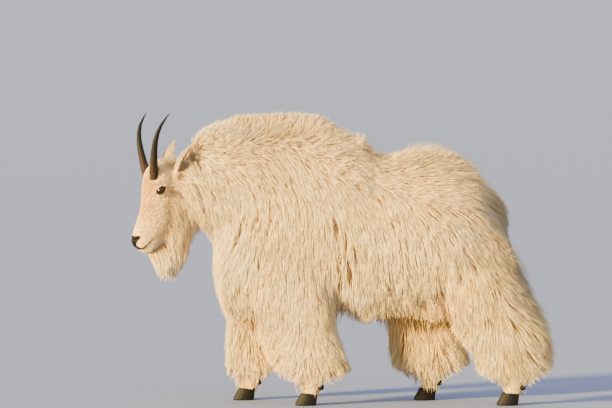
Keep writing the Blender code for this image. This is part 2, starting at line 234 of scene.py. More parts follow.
def remesh(thing, grain):
    step = thing.modifiers.new("one skin", "REMESH")
    step.mode = "VOXEL"
    step.voxel_size = grain
    settle(thing)
    return keep_largest(thing)


# %% [markdown]
# A skin of an animal has tens of thousands of points, and moving them all at once with numpy is
# much faster than one by one. The points stay those of the remeshed solid, so only their places
# are changed here.

# %% A mesh as arrays
SHRINK_STEPS = 8


class Skin:
    """The points of a mesh as arrays, with what is needed to smooth and move them."""

    def __init__(self, thing):
        self.thing = thing
        mesh = thing.data
        self.places = np.empty(len(mesh.vertices) * 3)
        mesh.vertices.foreach_get("co", self.places)
        self.places = self.places.reshape(-1, 3)
        self.edges = np.empty(len(mesh.edges) * 2, int)
        mesh.edges.foreach_get("vertices", self.edges)
        self.edges = self.edges.reshape(-1, 2)
        self.degree = np.bincount(self.edges.ravel(), minlength=len(self.places))
        mesh.calc_loop_triangles()
        self.corners = np.empty(len(mesh.loop_triangles) * 3, int)
        mesh.loop_triangles.foreach_get("vertices", self.corners)
        self.corners = self.corners.reshape(-1, 3)

    def around(self, values):
        """The mean of each point's neighbours."""
        a, b = self.edges.T
        if values.ndim == 1:
            total = np.bincount(a, values[b], len(values)) + np.bincount(b, values[a], len(values))
            return total / np.maximum(self.degree, 1)
        return np.stack([self.around(column) for column in values.T], 1)

    def smooth(self, times, share=0.5, where=None):
        for _ in range(times):
            step = (self.around(self.places) - self.places) * share
            self.places += step if where is None else step * where[:, None]

    def normals(self):
        p = self.places[self.corners]
        face = np.cross(p[:, 1] - p[:, 0], p[:, 2] - p[:, 0])
        out = np.stack([sum(np.bincount(self.corners[:, k], face[:, i], len(self.places))
                            for k in range(3)) for i in range(3)], 1)
        return out / np.maximum(np.linalg.norm(out, axis=1), 1e-12)[:, None]

    def swell(self, amounts):
        """Moves each point outwards by its own amount, or inwards where that is below 0."""
        self.places += self.normals() * amounts[:, None]

    def sink(self, depth, where):
        """Moves inwards in small steps, and smooths a little between them."""
        for _ in range(SHRINK_STEPS):
            self.swell(-depth / SHRINK_STEPS)
            self.smooth(2, where=where)

    def store(self):
        self.thing.data.vertices.foreach_set("co", self.places.ravel())
        self.thing.data.update()


# %% [markdown]
# Nothing on an animal starts or ends at once: hair grows longer, and a colour fades in. So nearly
# every measure below is a soft step between two places.

# %% A soft step
def ramp(values, low, high):
    """A soft step from 0 at 'low' to 1 at 'high'; the two may be given in either order."""
    t = np.clip((np.asarray(values, float) - low) / (high - low), 0.0, 1.0)
    return t * t * (3 - 2 * t)


print("a soft step at a quarter, a half and three quarters:", ramp([0.25, 0.5, 0.75], 0, 1))

# %% [markdown]
# The outline of the coat comes first. Copies of all the flesh solids are swollen by a
# millimetre, so that the thin cuts between them close, and remeshed into one closed shell. The
# hair will grow up to this shell and lie along it.

# %% The outline of the coat
FLESH = ["trunk", "neck", "head", "beard", "nose", "tail"]
FLESH += ["leg_%s_%s" % (end, side) for end in ("fore", "hind") for side in SIDES]
CLOSES_CUTS = 0.001
OUTLINE_GRAIN = 0.009

outline = joined_copy("outline", FLESH, CLOSES_CUTS)
found = remesh(outline, OUTLINE_GRAIN)
shell = Skin(outline)
shell.smooth(5)
shell.store()
print("outline of", len(shell.places), "points,", found, "bodies before cleaning")

# %% [markdown]
# Under the coat lies the flesh. It could be modelled by itself, but it must fit the coat
# everywhere, so it is made from the same solids, moved inwards by the depth of the hair. That is
# deep on the hump, shallow on the feet. Moving in small steps with a little smoothing between
# them keeps the thin legs from folding into themselves.

# %% The flesh of the body
BODY_HAIR = 0.034
MORE_ON_HUMP = 0.030
MORE_ON_LEGS = 0.016
FOOT_HAIR = 0.002
FLESH_GRAIN = 0.011
INTO_CLAW = 0.020


def coat_depth(places):
    """How deep the hair stands over the flesh of the body."""
    x, _, z = np.asarray(places).T
    feet = ramp(z, 0.084, 0.135)
    deep = BODY_HAIR + MORE_ON_HUMP * ramp(z, 0.86, 0.99) * ramp(x, 0.14, 0.02)
    deep = deep + MORE_ON_LEGS * ramp(z, 0.40, 0.28)
    return FOOT_HAIR + (deep - FOOT_HAIR) * feet


skin_thing = joined_copy("skin", [n for n in FLESH if n not in ("beard", "nose")], CLOSES_CUTS)
remesh(skin_thing, OUTLINE_GRAIN)
flesh = Skin(skin_thing)
flesh.smooth(4)
inwards = coat_depth(flesh.places)
flesh.sink(inwards, where=ramp(inwards, 0.004, 0.012))
flesh.store()
remesh(skin_thing, FLESH_GRAIN)
flesh = Skin(skin_thing)
# The foot runs down into its claws, whose upper edges lie a little under the hair.
flesh.places[:, 2] -= INTO_CLAW * ramp(flesh.places[:, 2], 0.090, 0.060)
flesh.store()
print("flesh of the body:", len(skin_thing.data.vertices), "points")

# %% [markdown]
# The head has short hair and fine forms, so its skin is made apart, four times finer, and joined
# to the body under the long hair of the neck. The seats of eyes, horns and ears are filled with
# plugs cut from those pieces, because the skin runs on beneath them.

# %% The rough head
CLOSES_SEATS = 0.0006
ROUGH_HEAD_GRAIN = 0.005
ROUGH_NECK_END = -0.26
NECK_HEIGHT = 0.75
HORN_PLUG_TOP = 0.806
EAR_PLUG_REACH = 0.030
PLUG_SWELL = 0.0008


def trim(thing, point, ahead):
    """Cuts off what lies ahead of a plane and closes the cut."""
    bm = bmesh.new()
    bm.from_mesh(thing.data)
    cut = bmesh.ops.bisect_plane(bm, geom=bm.verts[:] + bm.edges[:] + bm.faces[:], dist=1e-6,
                                 plane_co=point, plane_no=ahead, clear_outer=True)
    edges = [e for e in cut["geom_cut"] if isinstance(e, bmesh.types.BMEdge)]
    bmesh.ops.holes_fill(bm, edges=edges, sides=0)
    bm.to_mesh(thing.data)
    bm.free()
    return thing


def plug(node, point, ahead):
    """The root of a set-in solid, cut off square above its seat."""
    return trim(joined_copy("plug", [node], PLUG_SWELL), point, ahead)


def merge_into(base, others):
    bm = bmesh.new()
    bm.from_mesh(base.data)
    for other in others:
        bm.from_mesh(other.data)
        discard(other)
    bm.to_mesh(base.data)
    bm.free()


def ear_run(side):
    """The root of an ear and the way it points."""
    turn = SIDES[side]
    root, tip = from_head([(0.052, turn * 0.047, 0.793), (0.0, turn * 0.093, 0.910)])
    return root, (tip - root) / np.linalg.norm(tip - root)


head_thing = joined_copy("head_skin", ["head", "nose", "neck", "trunk"], CLOSES_SEATS)
trim(head_thing, from_head((ROUGH_NECK_END, 0, NECK_HEIGHT)), -HEAD_AXES[0])
fillers = [joined_copy("ball", ["eye_left", "eye_right"], CLOSES_SEATS)]
for side in SIDES:
    fillers.append(plug("horn_" + side, (0, 0, HORN_PLUG_TOP), (0, 0, 1)))
    root, run = ear_run(side)
    fillers.append(plug("ear_" + side, Vector(root + run * EAR_PLUG_REACH), Vector(run)))
merge_into(head_thing, fillers)
remesh(head_thing, ROUGH_HEAD_GRAIN)
print("rough head:", len(head_thing.data.vertices), "points")

# %% [markdown]
# The hair of the face is a few millimetres deep in front of the eyes and grows longer over the
# cheeks and the nape, so the skin sinks under it by a depth that follows the same change. The
# rough mesh sinks first, because long steps on a fine one would fold it, and only then is it
# remeshed finely enough for lids and lips.

# %% Sink the head's skin under its hair
HEAD_GRAIN = 0.0025
NECK_END = -0.085


def face_depth(places):
    """How deep the hair stands over the skin of the head."""
    forward, _, height = to_head(places).T
    deep = 0.0030 + 0.009 * ramp(forward, 0.110, 0.065) + 0.032 * ramp(forward, 0.060, -0.050)
    deep += 0.010 * ramp(height, 0.640, 0.565) * ramp(forward, 0.150, 0.090)
    return deep + 0.004 * ramp(height, 0.815, 0.850)


face = Skin(head_thing)
face.smooth(2)
inwards = face_depth(face.places)
face.smooth(14, where=ramp(inwards, 0.008, 0.018))
face.sink(inwards, where=ramp(inwards, 0.003, 0.010))
# The step under the jaw, where the beard's solid sits, is smoothed away.
forward, _, height = to_head(face.places).T
face.smooth(40, where=ramp(height, 0.605, 0.575) * ramp(forward, 0.140, 0.110))
print("deepest hair on the head:", round(float(inwards.max()) * 1000), "mm")

# %% [markdown]
# The upper half of an ear stands free, with the hair of the neck close behind it. There the neck
# gives way a little, so that the hair has room to lie between them. Then the neck is cut off where
# it meets the body's own, and the head is remeshed at its fine grain.

# %% Room behind the ears
EAR_ROOM = 0.016
EAR_SINK = 0.012

for side in SIDES:
    root, run = ear_run(side)
    from_root = face.places - root
    along = from_root @ run
    aside = from_root - along[:, None] * run
    gap = np.linalg.norm(aside, axis=1)
    give = EAR_ROOM * ramp(gap, 0.055, 0.022) * ramp(along, 0.040, 0.070)
    face.places += aside / np.maximum(gap, 1e-6)[:, None] * give[:, None]
    face.swell(-EAR_SINK * ramp(gap, 0.055, 0.030) * ramp(along, 0.045, 0.075))
face.smooth(6, where=ramp(face.places[:, 2], 0.83, 0.86))
face.store()

trim(head_thing, from_head((NECK_END, 0, NECK_HEIGHT)), -HEAD_AXES[0])
remesh(head_thing, HEAD_GRAIN)
face = Skin(head_thing)
face.smooth(14)
print("skin of the head:", len(face.places), "points")

# %% [markdown]
# The lids lie on the ball of the eye like a thin skin on a sphere. Near each eye the points are
# drawn to a sphere a little larger than the ball, which gives the round swelling that a goat's
# eye makes. The slit between the lids is cut later, with a clean edge.

# %% Lids
EYE_RADIUS = 0.016
LID_RADIUS = 0.0176
UPPER_LID = 0.0009
CREASE_DEPTH = 0.0012
CORNER_DEPTH = 0.0022


def eye_axes(side):
    """Unit vectors along the slit of the eye, up across it, and out along the gaze."""
    gaze = gaze_of(side)
    slit = np.array([-1.0, 0.0, 0.42]) @ HEAD_AXES
    slit -= gaze * (slit @ gaze)
    slit /= np.linalg.norm(slit)
    up = np.cross(gaze, slit) * SIDES[side]
    up = up if up[2] > 0 else -up
    return np.stack([slit, up, gaze])


for side, middle in EYES.items():
    axes = eye_axes(side)
    around_eye = (face.places - middle) @ axes.T
    far = np.linalg.norm(around_eye, axis=1)
    lean = np.degrees(np.arccos(np.clip(around_eye[:, 2] / np.maximum(far, 1e-9), -1, 1)))
    near = ramp(lean, 84, 50) * ramp(far, 0.040, 0.026)
    # The upper lid is thicker and stands out over the lower one.
    heavy = UPPER_LID * ramp(around_eye[:, 1], 0.002, 0.009) * ramp(around_eye[:, 1], 0.019, 0.012)
    wanted = middle + (around_eye / far[:, None] * (LID_RADIUS + heavy)[:, None]) @ axes
    face.places += (wanted - face.places) * near[:, None]
    # A fold above the upper lid, and a hollow in front of the inner corner.
    crease = np.exp(-((lean - 72) / 7) ** 2) * ramp(around_eye[:, 1], 0.0, 0.008)
    hollow = np.exp(-(((around_eye[:, 0] + 0.021) / 0.006) ** 2
                      + ((around_eye[:, 1] + 0.004) / 0.005) ** 2))
    face.swell(-(CREASE_DEPTH * crease + CORNER_DEPTH * hollow))
face.smooth(2)
print("lids over balls of", EYE_RADIUS * 1000, "mm radius")

# %% [markdown]
# A goat's muzzle carries a mouth line that starts under the nose pad, dips under the lip and
# climbs back along the cheek, and two comma-shaped nostrils. Each is a line on the side of the
# head, in forward and height, along which the skin is pressed in.

# %% Mouth and nostrils
MOUTH = [(0.2120, 0.5560), (0.1965, 0.5530), (0.1850, 0.5435), (0.1690, 0.5480),
         (0.1540, 0.5630), (0.1400, 0.5790)]
NOSTRIL = [(0.2065, 0.5760), (0.2010, 0.5740), (0.1955, 0.5775), (0.1890, 0.5840)]
NOSE_EDGE = [(0.2040, 0.5740), (0.1995, 0.5550)]
CHIN_CREASE = [(0.1760, 0.5330), (0.1640, 0.5370), (0.1520, 0.5470)]


def to_line(points, line):
    """The distance of flat points from a line of several stretches."""
    nearest = np.full(len(points), 1.0)
    for start, end in zip(np.array(line[:-1]), np.array(line[1:])):
        run = end - start
        share = np.clip((points - start) @ run / (run @ run), 0, 1)
        gap = np.linalg.norm(points - start - share[:, None] * run, axis=1)
        nearest = np.minimum(nearest, gap)
    return nearest


def press(line, width, depth, lip=0.0, inner=0.0):
    """Presses a groove into both sides of the face, with a swollen lip along it."""
    forward, left, height = to_head(face.places).T
    gap = to_line(np.stack([forward, height], 1), line)
    side = ramp(np.abs(left), inner, inner + 0.003) if inner else 1.0
    amount = depth * np.exp(-(gap / width) ** 2) * side
    amount = amount - lip * np.exp(-((gap - 2.4 * width) / (1.2 * width)) ** 2) * side
    face.swell(-amount * ramp(forward, 0.11, 0.14))


press(MOUTH, width=0.0018, depth=0.0032, lip=0.0011)
press(NOSTRIL, width=0.0022, depth=0.0050, lip=0.0010, inner=0.007)
press(CHIN_CREASE, width=0.0035, depth=0.0012)
face.smooth(1)
face.store()
print("the corner of the mouth lies", MOUTH[-1][0], "m forward on the head")

# %% [markdown]
# The ears are thin cups. They are remeshed from their own solids at a still finer grain and
# joined to the head where their roots sink into it. Then head, ears and body become one closed
# skin by a Boolean union, and the slits of the eyes are cut with almond-shaped cutters.

# %% Head, ears and body in one
EAR_GRAIN = 0.0018
EAR_SHRINK = 0.0002
EAR_FOOT_IN = 0.012


def boolean(base, other, operation):
    step = base.modifiers.new("join", "BOOLEAN")
    step.operation = operation
    step.solver = "EXACT"
    step.object = other
    settle(base)
    discard(other)


for side in SIDES:
    ear = joined_copy("ear", ["ear_" + side], -EAR_SHRINK)
    remesh(ear, EAR_GRAIN)
    cup = Skin(ear)
    cup.smooth(3)
    # Its foot is drawn into the head, as far as the skin there lies under the hair.
    root, run = ear_run(side)
    inwards = HEAD_AXES[1] * (-EAR_FOOT_IN * SIDES[side])
    cup.places += inwards * ramp((cup.places - root) @ run, 0.040, 0.005)[:, None]
    cup.store()
    boolean(head_thing, ear, "UNION")
boolean(head_thing, skin_thing, "UNION")
skin_thing = head_thing
skin_thing.name = "skin"
print("head, ears and body:", len(skin_thing.data.polygons), "faces")

# %% [markdown]
# The slit between the lids is cut with a clean edge, by a cutter in the shape of an almond that
# is pointed at both corners and a little higher behind than in front. A circle is squeezed into
# that shape and extruded along the gaze.

# %% The slits of the eyes
SLIT_HALF_LENGTH = 0.0150
SLIT_HALF_HEIGHT = 0.0090
SLIT_TILT = 0.10
SLIT_POINT = 0.25
CUT_FROM = 0.003
CUT_LENGTH = 0.03


def on_eye(side):
    """The matrix that puts a shape made round the origin on an eye, its +Z along the gaze."""
    axes = eye_axes(side)
    turn = Matrix([list(axes[:, i]) for i in range(3)]).to_4x4()
    return Matrix.Translation(EYES[side]) @ turn


def almond(side):
    """A cutter for the slit between the lids."""
    bm = bmesh.new()
    bmesh.ops.create_circle(bm, segments=36, radius=1.0, cap_ends=True)
    for vert in bm.verts:
        along, across = vert.co.x, vert.co.y
        half = across * (1 - SLIT_POINT * along * along)
        vert.co.x = along * SLIT_HALF_LENGTH
        vert.co.y = (half + SLIT_TILT * along) * SLIT_HALF_HEIGHT
        vert.co.z = CUT_FROM
    out = bmesh.ops.extrude_face_region(bm, geom=bm.faces[:])
    tips = [v for v in out["geom"] if isinstance(v, bmesh.types.BMVert)]
    bmesh.ops.translate(bm, vec=(0, 0, CUT_LENGTH), verts=tips)
    bmesh.ops.transform(bm, matrix=on_eye(side), verts=bm.verts)
    bmesh.ops.recalc_face_normals(bm, faces=bm.faces)
    return made_of(bm, "almond")


for side in EYES:
    boolean(skin_thing, almond(side), "DIFFERENCE")
print("one skin of", len(skin_thing.data.polygons), "faces")

# %% [markdown]
# Now the coat. On a goat each hair grows out of the skin, bends over and lies along the body,
# and the hairs stick together in pointed locks. Particle hair would be the usual way, but it does
# not survive an export, so each lock is a thin closed spike of mesh. First the skin and the
# outline are made ready for questions such as which point of them is nearest.

# %% Trees for looking up the nearest surface
skin = Skin(skin_thing)
skin_normals = skin.normals()
shell_normals = shell.normals()
shell_tree = BVHTree.FromPolygons(shell.places.tolist(), shell.corners.tolist())


def nearest(tree, places):
    """The nearest point of a surface to each place, its normal and the number of its face."""
    points, normals = np.empty((len(places), 3)), np.empty((len(places), 3))
    faces = np.empty(len(places), int)
    for i, place in enumerate(places):
        points[i], normals[i], faces[i], _ = tree.find_nearest(place)
    return points, normals, faces


def unit(vectors):
    return vectors / np.maximum(np.linalg.norm(vectors, axis=-1, keepdims=True), 1e-9)


def tree_of(nodes):
    """A tree of some solids together, and for each of its faces the number of its solid."""
    points, faces, numbers = [], [], []
    for number, name in enumerate(nodes):
        mesh = frame["nodes"][name].data
        mesh.calc_loop_triangles()
        first = len(points)
        points += [v.co[:] for v in mesh.vertices]
        faces += [[first + i for i in t.vertices] for t in mesh.loop_triangles]
        numbers += [number] * len(mesh.loop_triangles)
    return BVHTree.FromPolygons(points, faces), np.array(numbers)


parts_tree, part_of_face = tree_of(FLESH)
ears_tree, _ = tree_of(["ear_left", "ear_right"])
print("the flesh solids have", len(part_of_face), "triangles")

# %% [markdown]
# The ears need care of their own, because long hair must neither grow on them nor run through
# them. The distance from their solids tells which points of the skin belong to them.

# %% On and off the ears
NEAR_EARS = 0.04
BELOW_EARS = 0.78
EAR_TOUCH = 0.003
FREE_EAR_FOOT = 0.815


def ear_gap(places):
    """The distance from the nearer ear, up to NEAR_EARS."""
    gaps = np.full(len(places), NEAR_EARS)
    for i in np.flatnonzero(places[:, 2] > BELOW_EARS):
        gap = ears_tree.find_nearest(places[i], NEAR_EARS)[3]
        gaps[i] = NEAR_EARS if gap is None else gap
    return gaps


def on_ears(places):
    """Whether places on the skin belong to the free part of an ear."""
    return (ear_gap(places) < EAR_TOUCH) & (places[:, 2] > FREE_EAR_FOOT)


# The long hair grows from the body alone, so its own tree leaves the ears out.
off_ears = ~on_ears(skin.places[skin.corners].mean(1))
root_tree = BVHTree.FromPolygons(skin.places.tolist(), skin.corners[off_ears].tolist())
print("skin of", len(skin.corners), "triangles,", int((~off_ears).sum()), "of them on the ears")

# %% [markdown]
# The lie of the coat decides most of the look. It could be painted by hand; here it is written
# down as a list of spots on the goat's side, each with the way the hair runs there, and between
# the spots the directions are blended. Behind the shoulder the hair falls straight, on the
# shoulder's front it runs forward, on the hump it stands, and over the rump it sweeps back. Down
# the legs it spreads from the bone, which makes the chaps flare.

# %% The lie of the coat on the body
BODY_LIE = [
    # x, height, reach, backward, upward
    (-0.50, 0.92, 0.05, 1.00, 0.10),
    (-0.47, 0.86, 0.05, 0.90, -0.60),
    (-0.50, 0.81, 0.04, 0.60, -1.00),
    (-0.46, 0.78, 0.07, 0.55, -1.00),
    (-0.43, 0.70, 0.07, 0.35, -1.00),
    (-0.44, 0.62, 0.06, 0.05, -1.00),
    (-0.37, 0.60, 0.08, -0.42, -1.00),
    (-0.33, 0.50, 0.08, -0.32, -1.00),
    (-0.40, 0.42, 0.07, -0.10, -1.00),
    (-0.20, 0.62, 0.13, 0.00, -1.00),
    (-0.18, 0.45, 0.12, 0.04, -1.00),
    (-0.40, 0.92, 0.07, 0.50, 0.60),
    (-0.30, 1.00, 0.07, 0.15, 1.00),
    (-0.18, 1.01, 0.07, 0.30, 1.00),
    (-0.10, 1.00, 0.05, 0.60, 0.85),
    (-0.04, 0.97, 0.06, 0.90, 0.60),
    (-0.30, 0.87, 0.08, 0.60, -0.70),
    (-0.15, 0.86, 0.08, 0.45, -0.80),
    (0.02, 0.90, 0.06, 1.00, 0.05),
    (0.02, 0.82, 0.06, 0.70, -0.70),
    (0.15, 0.84, 0.06, 1.00, -0.10),
    (0.08, 0.72, 0.09, 0.35, -1.00),
    (0.08, 0.50, 0.16, 0.04, -1.00),
    (0.22, 0.60, 0.10, 0.15, -1.00),
    (0.24, 0.90, 0.06, 0.90, 0.45),
    (0.36, 0.86, 0.07, 1.00, 0.40),
    (0.30, 0.76, 0.08, 1.00, -0.22),
    (0.43, 0.73, 0.08, 1.00, -0.40),
    (0.36, 0.62, 0.08, 0.55, -1.00),
    (0.48, 0.58, 0.07, 0.65, -1.00),
    (0.38, 0.45, 0.11, 0.12, -1.00),
    (0.46, 0.33, 0.09, 0.15, -1.00),
    (0.57, 0.50, 0.06, 1.00, -0.70),
    (0.62, 0.38, 0.06, 1.00, -0.55),
]
LEG_AXES = {"leg_fore_left": (-0.120, -0.121), "leg_fore_right": (-0.325, 0.121),
            "leg_hind_left": (0.530, -0.116), "leg_hind_right": (0.275, 0.116)}
FLARE_HALF_LENGTH = 0.16
FLARE_HALF_WIDTH = 0.07
SLIGHTLY_DOWN = -0.02


def lie_on_body(places, parts):
    """The way the hair runs at each place on the trunk, neck, tail and legs."""
    x, y, z = places.T
    way = np.zeros_like(places)
    way[:, 2] = SLIGHTLY_DOWN
    for at_x, at_z, reach, back, up in BODY_LIE:
        weight = np.exp(-((x - at_x) ** 2 + (z - at_z) ** 2) / reach ** 2)
        size = math.hypot(back, up)
        way[:, 0] += weight * back / size
        way[:, 2] += weight * up / size
    way = unit(way)
    for name, (axis_x, axis_y) in LEG_AXES.items():
        on_leg = parts == FLESH.index(name)
        low = ramp(z, 0.36, 0.26) * on_leg
        flare = np.stack([(x - axis_x) / FLARE_HALF_LENGTH, 0.3 * (y - axis_y) / FLARE_HALF_WIDTH,
                          -np.ones(len(x))], 1)
        way = unit(way * (1 - low[:, None]) + unit(flare) * low[:, None])
    on_tail = parts == FLESH.index("tail")
    way[on_tail] = unit(np.array([0.5, 0.0, -1.0]))
    return way


print("the coat of the body follows", len(BODY_LIE), "spots")

# %% [markdown]
# On the head the hair starts at the nose and runs up and back, over the forehead and past the
# eyes, turns down on the cheeks, and falls from the jaw as the beard. The same kind of list is
# used, with places and directions in the head's own frame.

# %% The lie of the coat on the head
HEAD_LIE = [
    # forward, height, reach, forward, outward, upward
    (0.205, 0.585, 0.03, -0.60, 0.30, 0.60),
    (0.175, 0.640, 0.04, -0.55, 0.25, 0.75),
    (0.150, 0.700, 0.04, -0.60, 0.20, 0.60),
    (0.135, 0.780, 0.04, -0.40, 0.20, 1.00),
    (0.100, 0.830, 0.04, -1.00, 0.10, 0.30),
    (0.195, 0.535, 0.03, -0.80, 0.00, -0.50),
    (0.165, 0.560, 0.03, -0.90, 0.00, -0.20),
    (0.120, 0.720, 0.03, -0.80, 0.00, -0.60),
    (0.090, 0.760, 0.04, -1.00, 0.00, -0.30),
    (0.130, 0.650, 0.03, -0.70, 0.00, -0.80),
    (0.090, 0.680, 0.05, -0.45, 0.00, -1.00),
    (0.090, 0.600, 0.05, -0.15, 0.00, -1.00),
    (0.040, 0.780, 0.04, -1.00, 0.00, -0.60),
    (0.030, 0.700, 0.05, -0.40, 0.00, -1.00),
    (0.020, 0.600, 0.06, -0.10, 0.00, -1.00),
    (0.130, 0.520, 0.04, -0.25, 0.00, -1.00),
    (0.070, 0.500, 0.06, -0.05, 0.00, -1.00),
]


def lie_on_head(places):
    forward, left, height = to_head(places).T
    way = np.zeros((len(places), 3))
    way[:, 2] = SLIGHTLY_DOWN
    for at_forward, at_height, reach, *run in HEAD_LIE:
        weight = np.exp(-((forward - at_forward) ** 2 + (height - at_height) ** 2) / reach ** 2)
        run = unit(np.array(run))
        way[:, 0] += weight * run[0]
        way[:, 1] += weight * run[1] * np.sign(left)
        way[:, 2] += weight * run[2]
    return unit(way) @ HEAD_AXES


print("the coat of the head follows", len(HEAD_LIE), "spots")

# %% [markdown]
# Locks are sown at random, with the same number to each patch of skin of the same kind. A dart
# board would do, but choosing triangles by their area and then a point on each is exact.

# %% Sowing
rng = np.random.default_rng(7)


def sow(surface, normals, count, share):
    """Random points on a surface, as dense as 'share' asks, with the normals there."""
    corners = surface.places[surface.corners]
    size = np.linalg.norm(np.cross(corners[:, 1] - corners[:, 0], corners[:, 2] - corners[:, 0]),
                          axis=1)
    size = size * share(corners.mean(1))
    pick = rng.choice(len(size), count, p=size / size.sum())
    a, b = rng.random((2, count))
    over = a + b > 1
    a[over], b[over] = 1 - a[over], 1 - b[over]
    weights = np.stack([1 - a - b, a, b], 1)[:, :, None]
    return (corners[pick] * weights).sum(1), unit((normals[surface.corners[pick]] * weights).sum(1))


# %% [markdown]
# A lock's path has four points. It starts just inside the skin and climbs to the outline of the
# coat while it runs along the lie of the hair. Where the body turns away under it, as at the
# belly and the tail end, a long hair does not follow the skin but hangs free, so the path is
# left to run on there, for a short way only, because the solids give the outline to the tips.

# %% The paths of long locks
# How deep under the outline a lock still lies at its first points, as a share of the coat.
RISE = (1.0, 0.40, 0.15)
# A lock hangs free where its way climbs out of the surface by more than this.
FREE_ABOVE = 0.72
FREE_SPAN = 0.20
FREE_REACH = 0.030
SIDE_LIMIT = 0.2125
UNDER_SKIN = 0.002


def turned(ways, axes, angles):
    """Each way turned round its axis."""
    side = np.cross(axes, ways)
    return ways * np.cos(angles)[:, None] + side * np.sin(angles)[:, None]


def long_paths(starts, outward, ways, travel, tip_depth, hangs, reach):
    under, _, _ = nearest(root_tree, starts)
    deep = np.linalg.norm(under - starts, axis=1)
    points = [under + unit(under - starts) * UNDER_SKIN]
    place, normal, before = starts, outward, np.zeros(len(starts))
    for step in (1, 2, 3):
        lift = (ways * normal).sum(1)
        free = np.maximum(ramp(lift, FREE_ABOVE, FREE_ABOVE + FREE_SPAN), hangs)[:, None]
        along = unit(ways - normal * lift[:, None] * (1 - free))
        ahead = place + along * (travel / 3)[:, None]
        near, new_normal, _ = nearest(shell_tree, ahead)
        # A lock also lets go where the body turns away under it before it gets there.
        rim = ramp((ways * new_normal).sum(1), FREE_ABOVE - 0.15, FREE_ABOVE + FREE_SPAN)
        free = np.maximum(free, rim[:, None])
        gap = ahead - near
        over = np.linalg.norm(gap, axis=1) * np.sign((gap * new_normal).sum(1))
        # A hanging lock ends soon after it has left the outline.
        share = np.clip((reach - before) / np.maximum(over - before, 1e-6), 0.06, 1.0)
        hanging = place + (ahead - place) * np.where(over > reach, share, 1.0)[:, None]
        place = near * (1 - free) + hanging * free
        before = np.clip(over, 0, reach)
        normal = unit(normal + new_normal)
        sink = deep * RISE[step] if step < 3 else tip_depth
        points.append(place - normal * (sink * (1 - 0.7 * free[:, 0]))[:, None])
    paths = np.stack(points, 1)
    paths[:, :, 1] = np.clip(paths[:, :, 1], -SIDE_LIMIT, SIDE_LIMIT)
    return paths


# %% [markdown]
# Hairs stick together: the tips of neighbouring locks draw to one another and leave darker gaps
# between. So some locks are made leaders, and every other lock leans over to a leader beside it,
# not at all at its root and more and more towards its tip. A leader further up or down the same
# line of hair counts as near, which makes the clumps long and narrow, as combed hair is. Doing
# this twice, coarse and fine, gives shaggy clumps that are themselves made of smaller ones.

# %% Drawing locks together
LEAN = {3: np.array([0.0, 0.45, 1.0]), 4: np.array([0.0, 0.22, 0.62, 1.0])}
CANDIDATES = 9


def draw_together(paths, ways, one_in, strength, reach, stretch):
    """Leans each lock sideways to one of some leaders, and tells which one that is."""
    roots = paths[:, 0]
    leaders = rng.choice(len(paths), max(len(paths) // one_in, CANDIDATES), replace=False)
    tree = KDTree(len(leaders))
    for number, leader in enumerate(leaders):
        tree.insert(roots[leader], number)
    tree.balance()
    found = np.array([[hit[1] for hit in tree.find_n(root, CANDIDATES)] for root in roots])
    gaps = roots[leaders[found]] - roots[:, None]
    along = (gaps * ways[:, None]).sum(2)
    across = np.sqrt(np.maximum((gaps ** 2).sum(2) - along ** 2 * (1 - stretch ** -2), 0))
    best = across.argmin(1)
    chosen = leaders[found[np.arange(len(paths)), best]]
    pull = strength * ramp(across.min(1), reach * 1.6, reach * 0.7)
    lean = paths[chosen] - paths
    lean -= ways[:, None] * (lean * ways[:, None]).sum(2, keepdims=True)
    share = pull[:, None] * LEAN[paths.shape[1]][None, :]
    return paths + lean * share[:, :, None], chosen


# %% [markdown]
# Here and there the coat of the goat's left side parts in a long slit where it bends or has been
# blown about: down the crease of the neck, on the shoulder and at the flank. Every point of a
# lock that lies near such a line is pushed away from it, sideways.

# %% Partings
PARTINGS = np.array([
    # x and height of the upper end, x and height of the lower end
    (-0.515, 0.795, -0.466, 0.658),
    (-0.273, 0.693, -0.300, 0.630),
    (-0.334, 0.655, -0.375, 0.540),
    (-0.266, 0.541, -0.289, 0.462),
    (-0.235, 0.660, -0.262, 0.590),
    (-0.020, 0.650, -0.006, 0.520),
    (-0.006, 0.540, 0.000, 0.400),
    (0.030, 0.520, 0.034, 0.430),
    (0.283, 0.420, 0.252, 0.335),
    (0.352, 0.395, 0.362, 0.315),
    (0.420, 0.560, 0.470, 0.470),
])
PART_WIDTH = 0.009
PART_PUSH = 0.0085


def part_locks(paths):
    """Opens a slit along each parting of the left side."""
    places = paths.copy()
    near_side = ramp(paths[:, :, 1], -0.02, -0.06)
    for top_x, top_z, low_x, low_z in PARTINGS:
        run = np.array([low_x - top_x, low_z - top_z])
        size = np.linalg.norm(run)
        run /= size
        flat = paths[:, :, [0, 2]] - (top_x, top_z)
        along = flat @ run
        aside = flat @ np.array([-run[1], run[0]])
        inside = ramp(along, -0.02, 0.02) * ramp(along, size + 0.02, size - 0.02) * near_side
        push = PART_PUSH * np.tanh(aside / 0.002) * np.exp(-(aside / PART_WIDTH) ** 2) * inside
        push[:, 0] = 0
        places[:, :, 0] -= push * run[1]
        places[:, :, 2] += push * run[0]
    return places


print("partings on the left side:", len(PARTINGS))

# %% [markdown]
# One lock is a three-sided prism drawn to a point. It is made once with mesh operators and then
# copied to every path with numpy, in the way of an array of many small things. The long kind
# has two joints along it, the short kind one, and neither has more than sixteen triangles.

